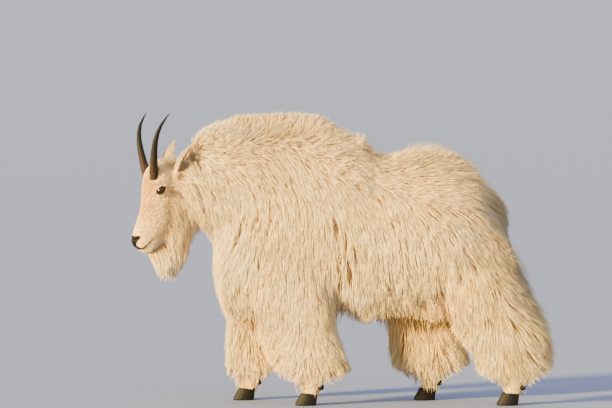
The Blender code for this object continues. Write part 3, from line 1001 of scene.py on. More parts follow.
# %% One lock
def lock_shape(joints):
    """Points, faces and map places of a spike of unit length, from a cylinder of three sides."""
    bm = bmesh.new()
    bmesh.ops.create_cone(bm, segments=3, radius1=1.0, radius2=1.0, depth=1.0, cap_ends=True)
    bmesh.ops.translate(bm, vec=(0, 0, 0.5), verts=bm.verts)
    for joint in range(1, joints + 1):
        bmesh.ops.bisect_plane(bm, geom=bm.verts[:] + bm.edges[:] + bm.faces[:], dist=1e-6,
                               plane_co=(0, 0, joint / (joints + 1)), plane_no=(0, 0, 1))
    top = [v for v in bm.verts if v.co.z > 0.999]
    bmesh.ops.pointmerge(bm, verts=top, merge_co=(0, 0, 1))
    bmesh.ops.recalc_face_normals(bm, faces=bm.faces)
    bm.verts.index_update()
    points = np.array([v.co[:] for v in bm.verts])
    faces, places = [], []
    for f in bm.faces:
        faces.append([v.index for v in f.verts])
        places.append(map_places([v.co for v in f.verts]))
    bm.free()
    return points, faces, places


def map_places(corners):
    """Where the corners of one face lie in the lock's own patch of the map, from -1 to 1."""
    if all(c.z < 1e-6 for c in corners):
        return [(math.sin(2.1 * i) * 0.9, -1 + 0.35 * math.cos(2.1 * i)) for i in range(3)]
    turns = [math.degrees(math.atan2(c.y, c.x)) % 360 for c in corners if c.z < 0.999]
    if max(turns) - min(turns) > 180:
        turns = [t + 360 if t < 180 else t for t in turns]
    middle = sum(turns) / len(turns)
    out = []
    for c in corners:
        turn = math.degrees(math.atan2(c.y, c.x)) % 360
        if abs(turn - middle) > 180:
            turn += 360
        turn = middle if c.z > 0.999 else turn
        out.append(((turn - 270) / 240, -0.6 + 1.6 * c.z))
    return out


LONG_LOCK = lock_shape(2)
SHORT_LOCK = lock_shape(1)
print("a long lock has", len(LONG_LOCK[0]), "points and", len(LONG_LOCK[1]), "faces")

# %% [markdown]
# The coat is shown in a few large pieces. Each keeps two numbers at every point, for its
# material: how far along its lock the point lies, and the lock's own tone, because no two locks
# are quite the same colour. A map named OFBake gives each lock a tiny patch of its own where its
# root lies on the piece, unrolled round an axis like the label of a tin.

# %% What a piece keeps for its material and its map
PATCH = 0.0015
MAP_EDGE = 0.004


def unrolled(places, middle, axis):
    """Places unrolled round an axis, both ways scaled to lie between 0 and 1."""
    across = [i for i in range(3) if i != axis]
    from_axis = places - middle
    turn = np.arctan2(from_axis[:, across[0]], -from_axis[:, across[1]])
    both = np.stack([turn, places[:, axis]], 1)
    low, high = both.min(0), both.max(0)
    return MAP_EDGE + (1 - 2 * MAP_EDGE) * (both - low) / (high - low)


def keep_values(mesh, label, values):
    """Stores a number, or a place, at every point of a mesh, for its material."""
    kind, field = ("FLOAT", "value") if values.ndim == 1 else ("FLOAT_VECTOR", "vector")
    mesh.attributes.new(label, kind, "POINT").data.foreach_set(field, values.ravel())


print("the patch of a lock is", PATCH * 2, "across on the map")

# %% [markdown]
# All locks of a piece are laid at once: the points of the one lock are carried along every path,
# with its flat side to the body. A lock is wider than thick, as a strand of hair is that lies
# on others.

# %% Many locks in one piece
THICKNESS = 0.30


def make_locks(name, shape, paths, outward, widths, profile, tones, axis=2):
    """One mesh of all these locks, which rides on the goat."""
    points, faces, places = shape
    count, rings = paths.shape[:2]
    run = np.gradient(paths, axis=1)
    side = unit(np.cross(run, outward[:, None, :]))
    up = unit(np.cross(side, run))
    level = np.rint(points[:, 2] * (rings - 1)).astype(int)
    width = widths[:, None] * np.array(profile)[None, level]
    all_points = (paths[:, level]
                  + side[:, level] * (points[:, 0] * 0.5 * width)[:, :, None]
                  + up[:, level] * (points[:, 1] * 0.5 * THICKNESS * width)[:, :, None])
    corners = np.concatenate([np.array(f) for f in faces])
    sizes = np.array([len(f) for f in faces])
    all_corners = (corners[None, :] + (np.arange(count) * len(points))[:, None]).ravel()
    starts = np.concatenate([[0], np.cumsum(sizes)[:-1]])
    all_starts = (starts[None, :] + (np.arange(count) * len(corners))[:, None]).ravel()

    mesh = bpy.data.meshes.new(name)
    mesh.vertices.add(count * len(points))
    mesh.vertices.foreach_set("co", all_points.ravel())
    mesh.loops.add(len(all_corners))
    mesh.loops.foreach_set("vertex_index", all_corners)
    mesh.polygons.add(len(all_starts))
    mesh.polygons.foreach_set("loop_start", all_starts)
    mesh.update(calc_edges=True)
    mesh.shade_smooth()

    roots = unrolled(paths[:, 0], paths[:, 0].mean(0), axis)
    roots = PATCH * 1.1 + roots * (1 - 2.2 * PATCH)
    flat = np.concatenate([np.array(p) for p in places])
    flat = roots[:, None, :] + flat[None] * PATCH
    mesh.uv_layers.new(name="OFBake").data.foreach_set("uv", flat.ravel())
    keep_values(mesh, "along", np.tile(points[:, 2], count))
    keep_values(mesh, "tone", np.repeat(tones, len(points)))

    thing = link(bpy.data.objects.new(name, mesh))
    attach(thing, "root")
    return thing


# %% [markdown]
# The long coat changes from place to place: short and upright on the hump, long on the chaps
# and in the beard, and longest on the flank, where it is also the most shaggy.
# Each lock is a hand's breadth long or so, and two millimetres wide.

# %% Length and width of the long coat
BEARD, HEAD, NECK = FLESH.index("beard"), FLESH.index("head"), FLESH.index("neck")
NOSE = FLESH.index("nose")
BODY_TRAVEL = 0.105
HEAD_TRAVEL = 0.034
BEARD_TRAVEL = 0.120
BODY_WIDTH = 0.0019
HEAD_WIDTH = 0.0016
COMBED = 0.16
BEARD_SHAGGY = 0.35


def long_hair_measures(places, parts):
    """Travel along the body, width, and how shaggy, for each long lock."""
    x, _, z = places.T
    forward = to_head(places)[:, 0]
    hump = ramp(z, 0.90, 0.99) * ramp(x, 0.12, 0.0)
    travel = BODY_TRAVEL - 0.065 * hump - 0.025 * ramp(z, 0.80, 0.90)
    flank = ramp(x, -0.05, 0.05) * ramp(x, 0.42, 0.30) * ramp(z, 0.74, 0.62)
    travel = travel + 0.020 * flank
    width = BODY_WIDTH + 0.0003 * flank - 0.0004 * hump
    shaggy = COMBED + 0.68 * flank + 0.22 * ramp(x, 0.30, 0.45) * ramp(z, 0.20, 0.30)
    on_head, on_beard = parts == HEAD, parts == BEARD
    travel[on_head] = HEAD_TRAVEL + 0.036 * ramp(forward, 0.09, 0.03)[on_head]
    width[on_head] = HEAD_WIDTH
    travel[on_beard] = BEARD_TRAVEL
    shaggy[on_beard] = BEARD_SHAGGY
    return travel, width, np.clip(shaggy, 0, 1)


print("a lock of the body runs", BODY_TRAVEL * 1000, "mm, one of the beard", BEARD_TRAVEL * 1000)

# %% [markdown]
# The locks stand closest on the beard and the cheeks, which the eye looks at first, and less
# close on the far side and the underside. There are none on the face, the ears and the claws.

# %% Where the long coat grows
def density(places):
    """How closely the long locks stand, 0 where the hair is short."""
    forward = to_head(places)[:, 0]
    parts = part_of_face[nearest(parts_tree, places)[2]]
    on_face = (parts == HEAD) * ramp(forward, 0.070, 0.100) + (parts == NOSE)
    thick = 1.0 + 1.1 * (parts == BEARD) + 0.8 * (parts == HEAD) + 0.25 * (parts == NECK)
    feet = ramp(places[:, 2], 0.078, 0.105)
    far_side = np.where(places[:, 1] > 0.03, 0.80, 1.0)
    faces_down = ramp(-nearest(shell_tree, places)[1][:, 2], 0.60, 0.90)
    hump = ramp(places[:, 2], 0.88, 0.97) * ramp(places[:, 0], 0.12, 0.0)
    thick = (thick + 0.35 * hump) * ramp(ear_gap(places), 0.003, 0.009)
    return thick * (1 - on_face) * feet * far_side * (1 - 0.6 * faces_down)


LONG_LOCKS = 81000
starts, outward = sow(shell, shell_normals, LONG_LOCKS, density)
parts = part_of_face[nearest(parts_tree, starts)[2]]
in_head_frame = np.isin(parts, (HEAD, BEARD, NOSE))
ways = lie_on_body(starts, parts)
ways[in_head_frame] = lie_on_head(starts[in_head_frame])
travel, width, shaggy = long_hair_measures(starts, parts)
print("sown:", len(starts), "long locks,", int(in_head_frame.sum()), "of them on the head")

# %% [markdown]
# No two locks are alike. Their way is turned a little, at random and in broad waves. Some are
# short and fill the partings, some stick out, and over the rump they end in ragged points. In a
# few places of the left side a loose tuft stands off, as winter hair does where it has caught.

# %% The ways and ends of the long locks
SHORT_SHARE = 0.25
SHORTER = 0.38
STRAY_SHARE = 0.08
WISP_SHARE = 0.12
TUFTS = [
    # x, height, size, backward, upward, how far it stands off
    (0.074, 0.895, 0.020, 0.15, 1.00, 0.020),
    (-0.040, 0.725, 0.016, 0.10, -1.00, 0.012),
    (-0.105, 0.890, 0.014, 0.50, 0.60, 0.010),
    (-0.053, 0.872, 0.014, 0.60, 0.40, 0.010),
    (-0.010, 0.842, 0.012, 0.60, 0.30, 0.010),
]

x, y, z = starts.T
wild = np.radians(2 + 4 * shaggy + 12 * ramp(z, 0.88, 0.97) * ramp(x, 0.1, 0))
waves = np.sin(70 * x + 31 * z + 40 * y) + np.sin(112 * x - 58 * z + 2) + np.sin(23 * x + 95 * z)
ways = turned(ways, outward, rng.normal(0, 1, LONG_LOCKS) * wild + np.radians(3.2) * waves)
travel = travel * rng.uniform(0.72, 1.18, LONG_LOCKS)
travel = np.where(rng.random(LONG_LOCKS) < SHORT_SHARE, travel * SHORTER, travel)
tip_depth = rng.uniform(-0.001, 0.008, LONG_LOCKS)
stray = rng.random(LONG_LOCKS) < STRAY_SHARE
tip_depth = np.where(stray, rng.uniform(-0.010, -0.003, LONG_LOCKS), tip_depth)
reach = FREE_REACH * rng.uniform(0.1, 1.0, LONG_LOCKS) * (1 - 0.65 * ramp(z, 0.80, 0.90))
# The beard hangs, and ends in a few long wisps. Its other locks stop near the outline.
on_beard = parts == BEARD
hangs = 0.45 * on_beard
wisp = np.where(rng.random(LONG_LOCKS) < WISP_SHARE, 0.7, 0.25)
reach = np.where(on_beard, reach * wisp, reach)
# On the hump a few hairs stand up further than the rest, which makes its edge soft.
reach = reach * (1 + 1.5 * ramp(z, 0.90, 0.96) * rng.random(LONG_LOCKS) ** 4)
# Over the rump and down the back of the thighs the hair stands out in ragged points.
on_rump = ramp(z, 0.80, 0.86) * ramp(x, 0.10, 0.20)
on_rump = np.maximum(on_rump, ramp(x, 0.50, 0.58) * ramp(z, 0.12, 0.2))
tip_depth -= 0.010 * on_rump * rng.random(LONG_LOCKS) ** 1.5
for at_x, at_z, size, back, up, lift in TUFTS:
    here = (np.hypot(x - at_x, z - at_z) < size) & (y < -0.02) & (rng.random(LONG_LOCKS) < 0.7)
    ways[here] = unit(np.array([back, 0.0, up]))
    travel[here] = travel[here] * 0.85
    tip_depth[here] = -lift * rng.uniform(0.6, 1.0, here.sum())
print("stray locks:", int(stray.sum()), "and loose tufts:", len(TUFTS))

# %% [markdown]
# Now the locks are laid, drawn together three times, from small clumps to broad ones, and
# parted. The small and the middle clumps also share a tone, so that a clump reads as one thing.
# Locks that would run through an ear are left out, and one cut short where it hangs is finer.

# %% Growing the long coat
RUMP_STAND = 0.036
FULL_LENGTH = 0.060

paths = long_paths(starts, outward, ways, travel, tip_depth, hangs, reach)
paths, kin = draw_together(paths, ways, 9, 0.25 + 0.40 * shaggy, 0.010, 4.0)
paths, tribe = draw_together(paths, ways, 60, 0.10 + 0.42 * shaggy, 0.024, 5.0)
paths, _ = draw_together(paths, ways, 420, 0.30 * ramp(shaggy, 0.3, 0.7), 0.050, 6.0)
# Over the rump whole clumps stand off, some further than others.
stand = RUMP_STAND * on_rump * rng.random(LONG_LOCKS)[tribe] ** 2.5 * ramp(x, 0.70, 0.58)
paths += outward[:, None] * stand[:, None, None] * np.array([0, 0, 0.35, 1.0])[:, None]
paths[:, :, 1] = np.clip(paths[:, :, 1], -SIDE_LIMIT, SIDE_LIMIT)
paths = part_locks(paths)
shades = rng.random((3, LONG_LOCKS))
tones = 0.4 * shades[0] + 0.35 * shades[1][kin] + 0.25 * shades[2][tribe]
# Combed hair is even in tone, and shaggy hair is not.
tones = 0.75 + (tones - 0.75) * np.clip(0.5 + 1.6 * (shaggy - COMBED), 0.5, 1.6)
clear = (ear_gap(paths[:, 1:].reshape(-1, 3)).reshape(-1, 3) > EAR_TOUCH).all(1)
length = np.linalg.norm(np.diff(paths, axis=1), axis=2).sum(1)
width = width * np.clip(length / FULL_LENGTH, 0.55, 1.0)
print("long locks:", int(clear.sum()), "of", len(paths))

# %% [markdown]
# Cutting the coat into pieces keeps each mesh small enough to handle. The cuts are not seen,
# because locks of one piece lie over those of the next.

# %% The pieces of the long coat
LONG_PROFILE = (0.7, 1.0, 0.72, 0.0)
left_side = starts[:, 1] < 0
is_trunk = parts == FLESH.index("trunk")
SPANS = {"front": (-1.0, -0.18), "shoulder": (-0.18, 0.0), "flank": (0.0, 0.20), "rump": (0.20, 1.0)}
PIECES = {
    "coat_neck": (parts == NECK, "body_coat", 0),
    "coat_cheeks": (parts == HEAD, "head_coat", 2),
    "coat_beard": ((parts == BEARD) | (parts == NOSE), "head_coat", 2),
    "coat_tail": (parts == FLESH.index("tail"), "body_coat", 2),
}
for name, (low, high) in SPANS.items():
    span = is_trunk & (starts[:, 0] >= low) & (starts[:, 0] < high)
    PIECES["coat_left_" + name] = (span & left_side, "body_coat", 0)
    PIECES["coat_right_" + name] = (span & ~left_side, "body_coat", 0)
for name in LEG_AXES:
    PIECES["coat_" + name] = (parts == FLESH.index(name), "leg_coat", 2)
coat = {}
for name, (chosen, slot, axis) in PIECES.items():
    chosen = chosen & clear
    coat[name] = make_locks(name, LONG_LOCK, paths[chosen], outward[chosen], width[chosen],
                            LONG_PROFILE, tones[chosen], axis)
    print(name, int(chosen.sum()), "locks")

# %% [markdown]
# The short hair of the face, the ears and the feet lies almost flat on the skin. It grows
# straight from the skin and needs no outline to follow: each lock is a small spike, laid along
# the lie of the hair and lifted a little. It leaves bare the slits of the eyes, the nose pad and
# the mouth.

# %% Distances on the face
RIM_LENGTH = 0.0218
RIM_HEIGHT = 0.0130
AWAY = 0.05


def from_eye(places, side):
    """Places in the frame of an eye: along the slit, up across it, and out."""
    return (places - EYES[side]) @ eye_axes(side).T


def slit_gap(places):
    """The distance from the edge of the nearer slit, below 0 within it."""
    gaps = []
    for side in EYES:
        along, across, out = from_eye(places, side).T
        share = np.clip(along / SLIT_HALF_LENGTH, -1.0, 1.0)
        half = SLIT_HALF_HEIGHT * np.sqrt(np.maximum(1 - share ** 2, 0))
        half = half * (1 - SLIT_POINT * share ** 2)
        past = np.maximum(np.abs(along) - SLIT_HALF_LENGTH, 0)
        middle = SLIT_TILT * share * SLIT_HALF_HEIGHT
        gap = np.hypot(np.maximum(np.abs(across - middle) - half, 0), past)
        gaps.append(np.where(out > 0.004, gap, AWAY))
    return np.minimum(*gaps)


def rim_place(places):
    """How far out from an eye a place lies, 1 at the outer edge of the dark rim of its lids."""
    out_from = []
    for side in EYES:
        along, across, out = from_eye(places, side).T
        across = across - SLIT_TILT * along
        ring = (np.abs(along) / RIM_LENGTH) ** 1.5 + (np.abs(across) / RIM_HEIGHT) ** 1.7
        out_from.append(np.where(out > -0.004, ring, 9.0))
    return np.minimum(*out_from)


def gap_from(places, lines, ahead_of):
    """The distance from lines on the sides of the muzzle, as far back as 'ahead_of'."""
    forward, _, height = to_head(places).T
    flat = np.stack([forward, height], 1)
    gap = np.minimum.reduce([to_line(flat, line) for line in lines])
    return np.where(forward > ahead_of, gap, AWAY)


def mouth_gap(places):
    return gap_from(places, [MOUTH], 0.125)


def nose_gap(places):
    """The distance from the nostril's comma and the dark edge that joins it to the mouth."""
    return gap_from(places, [NOSTRIL, NOSE_EDGE], 0.17)


print("the dark rim of an eye is", RIM_LENGTH * 2000, "mm long")

# %% [markdown]
# These distances say where the short coat grows: over the face up to the long hair of the neck,
# on the free part of the ears, and on the feet above the claws. The rims of the lids, the mouth,
# the nose pad and the seats of the horns stay bare.

# %% Where short hair grows
MOUTH_BARE = 0.0060
NOSTRIL_BARE = 0.0070
PAD_NEAR = 0.009
HORN_SEAT = 0.0175
HORN_FOOT = 0.770


def near_nose(places):
    points, _, faces = nearest(parts_tree, places)
    far = np.linalg.norm(points - places, axis=1)
    return (part_of_face[faces] == NOSE) & (far < PAD_NEAR)


def on_horns(places):
    inside = np.zeros(len(places), bool)
    for turn in SIDES.values():
        low, high = from_head([(0.130, turn * 0.027, 0.786), (0.141, turn * 0.046, 0.850)])
        run = (high - low) / np.linalg.norm(high - low)
        along = (places - low) @ run
        gap = np.linalg.norm(places - low - along[:, None] * run, axis=1)
        inside |= (gap < HORN_SEAT) & (places[:, 2] > HORN_FOOT)
    return inside


def face_share(places):
    forward = to_head(places)[:, 0]
    grows = ramp(forward, 0.035, 0.065) * (places[:, 2] > 0.5)
    grows = np.maximum(grows, ramp(ear_gap(places), 0.038, 0.028))
    bare = (rim_place(places) < 1.0) | (mouth_gap(places) < MOUTH_BARE) | near_nose(places)
    bare |= nose_gap(places) < NOSTRIL_BARE
    return grows * ~bare * ~on_ears(places) * ~on_horns(places)


def ear_share(places):
    return on_ears(places).astype(float)


def foot_share(places):
    return ramp(places[:, 2], 0.125, 0.100) * (places[:, 2] > 0.030)


print("points of the skin on the ears:", int(ear_share(skin.places).sum()))

# %% [markdown]
# On the face the hair is finest at the nose and the lids, and grows longer over the forehead and
# the cheeks. The ears carry their hair towards the tip, and the feet have it down to the claws.

# %% How short hair lies
def face_length(places):
    forward = to_head(places)[:, 0]
    length = 0.0085 + 0.007 * ramp(forward, 0.17, 0.11) + 0.012 * ramp(forward, 0.11, 0.06)
    length *= 0.40 + 0.60 * ramp(nose_gap(places), 0.007, 0.018)
    return length * (0.45 + 0.55 * ramp(slit_gap(places), 0.002, 0.014))


def ear_lie(places):
    ways = np.zeros_like(places)
    for side, turn in SIDES.items():
        root, run = ear_run(side)
        here = np.linalg.norm(places - root, axis=1) < 0.16
        here &= np.sign(to_head(places)[:, 1]) == turn
        ways[here] = run
    return unit(ways + 1e-6)


def foot_lie(places):
    return np.tile([0.0, 0.0, -1.0], (len(places), 1))


bridge_hair = face_length(from_head([(0.17, 0.0, 0.70)]))[0]
print("hair on the bridge of the nose:", round(float(bridge_hair) * 1000, 1), "mm")

# %% [markdown]
# A short lock needs only three points, so one function lays them all. Its root lies just under
# the skin, and its middle and tip lift off it by a share of its length.

# %% The short coat
SHORT_LIFT = (0.17, 0.20)
SHORT_PROFILE = (0.8, 1.0, 0.0)
EAR_HAIR = 0.016
CLAW_HAIR = 0.013


def short_locks(name, share, count, lie, length, width, axis=2):
    starts, outward = sow(skin, skin_normals, count, share)
    ways = lie(starts)
    ways = turned(ways, outward, rng.normal(0, math.radians(9), len(starts)))
    along = unit(ways - outward * (ways * outward).sum(1)[:, None])
    reach = (length(starts) * rng.uniform(0.75, 1.2, len(starts)))[:, None]
    paths = np.stack([starts - outward * 0.0006,
                      starts + along * reach * 0.5 + outward * reach * SHORT_LIFT[0],
                      starts + along * reach + outward * reach * SHORT_LIFT[1]], 1)
    paths, _ = draw_together(paths, along, 6, 0.35, 0.004, 2.0)
    thing = make_locks(name, SHORT_LOCK, paths, outward, np.full(len(starts), width),
                       SHORT_PROFILE, rng.random(len(starts)), axis)
    print(name, len(starts), "locks")
    return thing


coat["coat_face"] = short_locks("coat_face", face_share, 14000, lie_on_head, face_length,
                                0.0013)
coat["coat_ears"] = short_locks("coat_ears", ear_share, 2600, ear_lie,
                                lambda p: np.full(len(p), EAR_HAIR), 0.0013)
coat["coat_feet"] = short_locks("coat_feet", foot_share, 3600, foot_lie,
                                lambda p: np.full(len(p), CLAW_HAIR), 0.0017)

# %% [markdown]
# The balls of the eyes are spheres with the slight bulge of the cornea. Each point keeps its
# place in the eye's own frame, along the slit, across it and out, so that the material can paint
# the iris and the lying pupil of a goat wherever the eye looks.

# %% Eyes
CORNEA = 0.0007
CORNEA_RADIUS = 0.010

for side in EYES:
    bm = bmesh.new()
    bmesh.ops.create_icosphere(bm, subdivisions=5, radius=EYE_RADIUS)
    own = np.array([v.co[:] for v in bm.verts])
    for vert in bm.verts:
        off = math.hypot(vert.co.x, vert.co.y)
        if vert.co.z > 0 and off < CORNEA_RADIUS:
            vert.co.z += CORNEA * (1 - (off / CORNEA_RADIUS) ** 2)
    bmesh.ops.transform(bm, matrix=on_eye(side), verts=bm.verts)
    bmesh.ops.recalc_face_normals(bm, faces=bm.faces)
    ball = made_of(bm, "eyeball_" + side)
    ball.data.shade_smooth()
    keep_values(ball.data, "gaze", own)
    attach(ball, "root")
    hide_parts("eye_" + side)
print("eyeballs", EYE_RADIUS * 2000, "mm across")

# %% [markdown]
# A mountain goat's horn is a thin black dagger. Near its base it carries rings, one for each
# winter, with finer ones between them, and above it is smooth. The solid horn is remeshed finely
# and its surface moved in and out by the height along the horn.

# %% Horns
HORN_GRAIN = 0.0011
RING_PITCH = 0.0085
RING_DEPTH = 0.00055
FINE_PITCH = 0.0031
FINE_DEPTH = 0.00022
HORN_SHRINK = 0.0002

for side in SIDES:
    horn = joined_copy("horn_sheath_" + side, ["horn_" + side])
    remesh(horn, HORN_GRAIN)
    sheath = Skin(horn)
    sheath.smooth(3)
    height = sheath.places[:, 2]
    base = ramp(height, 0.875, 0.815)
    middle = ramp(height, 0.945, 0.880)
    # The rings aren't quite level, but waver a little round the horn.
    turns = height + 0.0012 * np.sin(600 * sheath.places[:, 0])
    rings = RING_DEPTH * base * np.sin(turns * 2 * math.pi / RING_PITCH)
    fine = FINE_DEPTH * middle * np.sin(turns * 2 * math.pi / FINE_PITCH)
    sheath.swell(rings + fine - HORN_SHRINK)
    sheath.store()
    horn.data.shade_smooth()
    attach(horn, "root")
    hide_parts("horn_" + side)
    print(horn.name, len(sheath.places), "points")

# %% [markdown]
# The claws and dewclaws keep the shape of their solids. They are remeshed so that their edges
# turn softly, as worn horn does, and each gets faint rings that run level round it.

# %% Hooves
CLAW_GRAIN = 0.0024
CLAW_RING_PITCH = 0.0052
CLAW_RING_DEPTH = 0.00035

claw_nodes = [name for name in frame["nodes"] if name.startswith(("hoof_", "dewclaw_"))]
claws = []
for name in claw_nodes:
    claw = joined_copy(name.replace("hoof", "claw_hoof").replace("dewclaw", "claw_dew"), [name])
    remesh(claw, CLAW_GRAIN)
    wall = Skin(claw)
    wall.smooth(3)
    height = wall.places[:, 2]
    ring = CLAW_RING_DEPTH * np.sin(height * 2 * math.pi / CLAW_RING_PITCH)
    wall.swell(ring * ramp(height, 0.004, 0.012))
    # The sole stays on the floor.
    wall.places[:, 2] = np.maximum(wall.places[:, 2], float(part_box(name)[0][2]))
    wall.store()
    claw.data.shade_smooth()
    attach(claw, "root")
    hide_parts(name)
    claws.append(claw)
print(len(claws), "claws and dewclaws")

# %% [markdown]
# The bare parts of the skin are the nose pad, the line of the mouth, the nostrils and the rims
# of the lids. They are marked at the skin's points, so that their outline follows the form.

# %% Marks on the skin
skin_points = skin.places
forward, left, height = to_head(skin_points).T
on_head = forward > 0.03
rim = ramp(rim_place(skin_points), 1.08, 0.92) * on_head
thick = 0.0016 * ramp(forward, 0.150, 0.175)
line = ramp(mouth_gap(skin_points) - thick, 0.0042, 0.0024) * ramp(np.abs(left), 0.060, 0.050)
hole = ramp(nose_gap(skin_points), 0.0080, 0.0058)
pad = skin.around(near_nose(skin_points).astype(float))
bare = np.clip(np.maximum.reduce([rim, line, hole, pad]), 0, 1) * (skin_points[:, 2] > 0.5)
keep_values(skin_thing.data, "bare", bare)
skin_thing.data.shade_smooth()
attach(skin_thing, "root")
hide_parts(*FLESH, "ear_left", "ear_right")
discard(outline)
print("bare points of the skin:", int((bare > 0.5).sum()))

# %% [markdown]
# Materials are made from nodes. A small helper keeps their making short: it adds a node, gives
# it its settings, and fills its sockets with plain values or with the outputs of other nodes.
# Mapping, noise and soft steps are used so often that each has a line of its own.

# %% A helper for nodes
class Nodes:
    def __init__(self, tree):
        self.tree = tree

    def put(self, socket, value):
        if isinstance(value, bpy.types.NodeSocket):
            self.tree.links.new(value, socket)
        else:
            socket.default_value = value

    def add(self, kind, inputs=(), **settings):
        made = self.tree.nodes.new("ShaderNode" + kind)
        for name, value in settings.items():
            setattr(made, name, value)
        for socket, value in dict(inputs).items():
            self.put(made.inputs[socket], value)
        return made

    def math(self, operation, first, second=0.0):
        return self.add("Math", {0: first, 1: second}, operation=operation).outputs[0]

    def mix(self, share, first, second, blend="MIX"):
        made = self.add("Mix", {0: share, 6: first, 7: second}, data_type="RGBA",
                        blend_type=blend)
        return made.outputs[2]

    def noise(self, place, scale, detail=3.0, rough=0.55):
        made = self.add("TexNoise", {"Vector": place, "Scale": scale, "Detail": detail,
                                     "Roughness": rough})
        return made.outputs["Fac"]

    def step(self, value, low, high):
        made = self.add("MapRange", {"Value": value, "From Min": low, "From Max": high},
                        interpolation_type="SMOOTHSTEP")
        return made.outputs["Result"]

    def attribute(self, name, output="Fac"):
        return self.add("Attribute", attribute_name=name).outputs[output]

    def place(self):
        return self.add("TexCoord").outputs["Object"]

    def stretched(self, place, scale, turn=(0.0, 0.0, 0.0)):
        made = self.add("Mapping", {"Vector": place, "Scale": scale, "Rotation": turn})
        return made.outputs["Vector"]

    def group(self, tree, **inputs):
        made = self.tree.nodes.new("ShaderNodeGroup")
        made.node_tree = tree
        for name, value in inputs.items():
            self.put(made.inputs[name.capitalize()], value)
        return made.outputs


print("the world starts with", len(bpy.data.materials), "materials")

# %% [markdown]
# Colours are written as the eye sees them on a screen and turned into the light values that a
# shader works with. What is the same all over a surface is set straight on the shader.

# %% Colours, materials and groups
def colour(red, green, blue):
    """An eye's colour, from 0 to 255, as the light values that a shader works with."""
    parts = [c / 255 for c in (red, green, blue)]
    return tuple(c / 12.92 if c <= 0.04045 else ((c + 0.055) / 1.055) ** 2.4
                 for c in parts) + (1.0,)


def new_material(name):
    made = bpy.data.materials.new(name)
    made.use_nodes = True
    return made, Nodes(made.node_tree), made.node_tree.nodes["Principled BSDF"]


def finish_of(shader, values):
    for name, value in values.items():
        shader.inputs[name].default_value = value


def wear(thing, material):
    thing.data.materials.clear()
    thing.data.materials.append(material)


def new_group(name, inputs, outputs):
    """A shader node group with named sockets, and the nodes at its two ends."""
    tree = bpy.data.node_groups.new(name, "ShaderNodeTree")
    for label, kind in inputs:
        tree.interface.new_socket(label, in_out="INPUT", socket_type="NodeSocket" + kind)
    for label, kind in outputs:
        tree.interface.new_socket(label, in_out="OUTPUT", socket_type="NodeSocket" + kind)
    start, end = tree.nodes.new("NodeGroupInput"), tree.nodes.new("NodeGroupOutput")
    return tree, Nodes(tree), start.outputs, end.inputs


print("ivory as light:", [round(c, 2) for c in colour(242, 216, 154)[:3]])

# %% [markdown]
# Skin and coat carry the same markings, so the markings are one node group that reads the place
# on the goat. The winter coat is ivory. It is white on the beard, yellower on the legs, stained
# ochre on the forehead and the bridge of the nose, and greyer on the ears. Light is painted in as
# well: the chest is whiter as a painted highlight where the key light falls, amber low on the legs
# is partly their own yellow and partly a painted glow of light through the hair, and painted shade
# makes the hump, the back and the rump greyer and the rear of the thighs and the low flank darker.

# %% The markings of the coat
IVORY = colour(242, 216, 154)
WHITE = colour(250, 233, 186)
STRAW = colour(244, 203, 118)
OCHRE = colour(203, 153, 78)
# Ash grey is the ears' own colour, and it also paints shade on the hump, the back and the rump.
ASH_AND_SHADE = colour(206, 184, 142)
# A darker smoky grey, used only as painted shade.
PAINTED_SHADE = colour(146, 127, 102)
# Amber, partly the legs' own yellow and partly a painted glow of light through the hair.
AMBER_AND_GLOW = colour(255, 213, 122)
# Left and right count for less than the other two ways, so that a patch reaches both sides.
FLATTENED = (1.0, 0.35, 1.0)

# Soft patches: x, y, z, reach, which colour and how strong.
FOREHEAD, NAPE, CHEEK, TEMPLE, BRIDGE, FACE, CHIN, EAR_LEFT, EAR_RIGHT = from_head([
    (0.140, 0, 0.765), (0.070, 0, 0.805), (0.110, 0.05, 0.670), (0.075, 0.05, 0.745),
    (0.160, 0.02, 0.690), (0.140, 0, 0.680), (0.09, 0, 0.49), (0.02, 0.075, 0.86),
    (0.02, -0.075, 0.86)])
PATCHES = [
    (FACE, 0.190, STRAW, 0.35),
    (CHIN, 0.130, WHITE, 0.80),
    (FOREHEAD, 0.068, OCHRE, 0.85),
    (NAPE, 0.060, OCHRE, 0.20),
    (CHEEK, 0.060, OCHRE, 0.22),
    (TEMPLE, 0.050, OCHRE, 0.12),
    (EAR_LEFT, 0.080, ASH_AND_SHADE, 0.85),
    (EAR_RIGHT, 0.080, ASH_AND_SHADE, 0.85),
    (BRIDGE, 0.070, OCHRE, 0.75),
    # Amber low on the legs: partly their own yellow, partly a painted glow of light shining through
    # the hair.
    ((-0.240, 0.0, 0.18), 0.120, AMBER_AND_GLOW, 0.70),
    ((0.290, 0.1, 0.24), 0.190, AMBER_AND_GLOW, 0.90),
    ((0.410, 0.0, 0.36), 0.170, AMBER_AND_GLOW, 0.75),
    # Painted shade: darker grey low on the flank, above the hind legs.
    ((0.310, 0.0, 0.43), 0.090, PAINTED_SHADE, 0.50),
    # Painted shade: greyer over the hump, the back and the rump.
    ((-0.250, 0.0, 0.97), 0.200, ASH_AND_SHADE, 0.50),
    ((0.520, 0.0, 0.60), 0.200, ASH_AND_SHADE, 0.60),
    ((0.150, 0.0, 0.80), 0.170, ASH_AND_SHADE, 0.45),
    # Painted shade: darker grey at the rear of the thighs and the rump, which face away from the key
    # light.
    ((0.670, 0.0, 0.45), 0.240, PAINTED_SHADE, 0.70),
    ((0.600, 0.0, 0.67), 0.140, PAINTED_SHADE, 0.45),
    # Painted highlight: whiter on the chest, where the key light falls full on it.
    ((-0.400, -0.1, 0.50), 0.160, WHITE, 0.60),
]

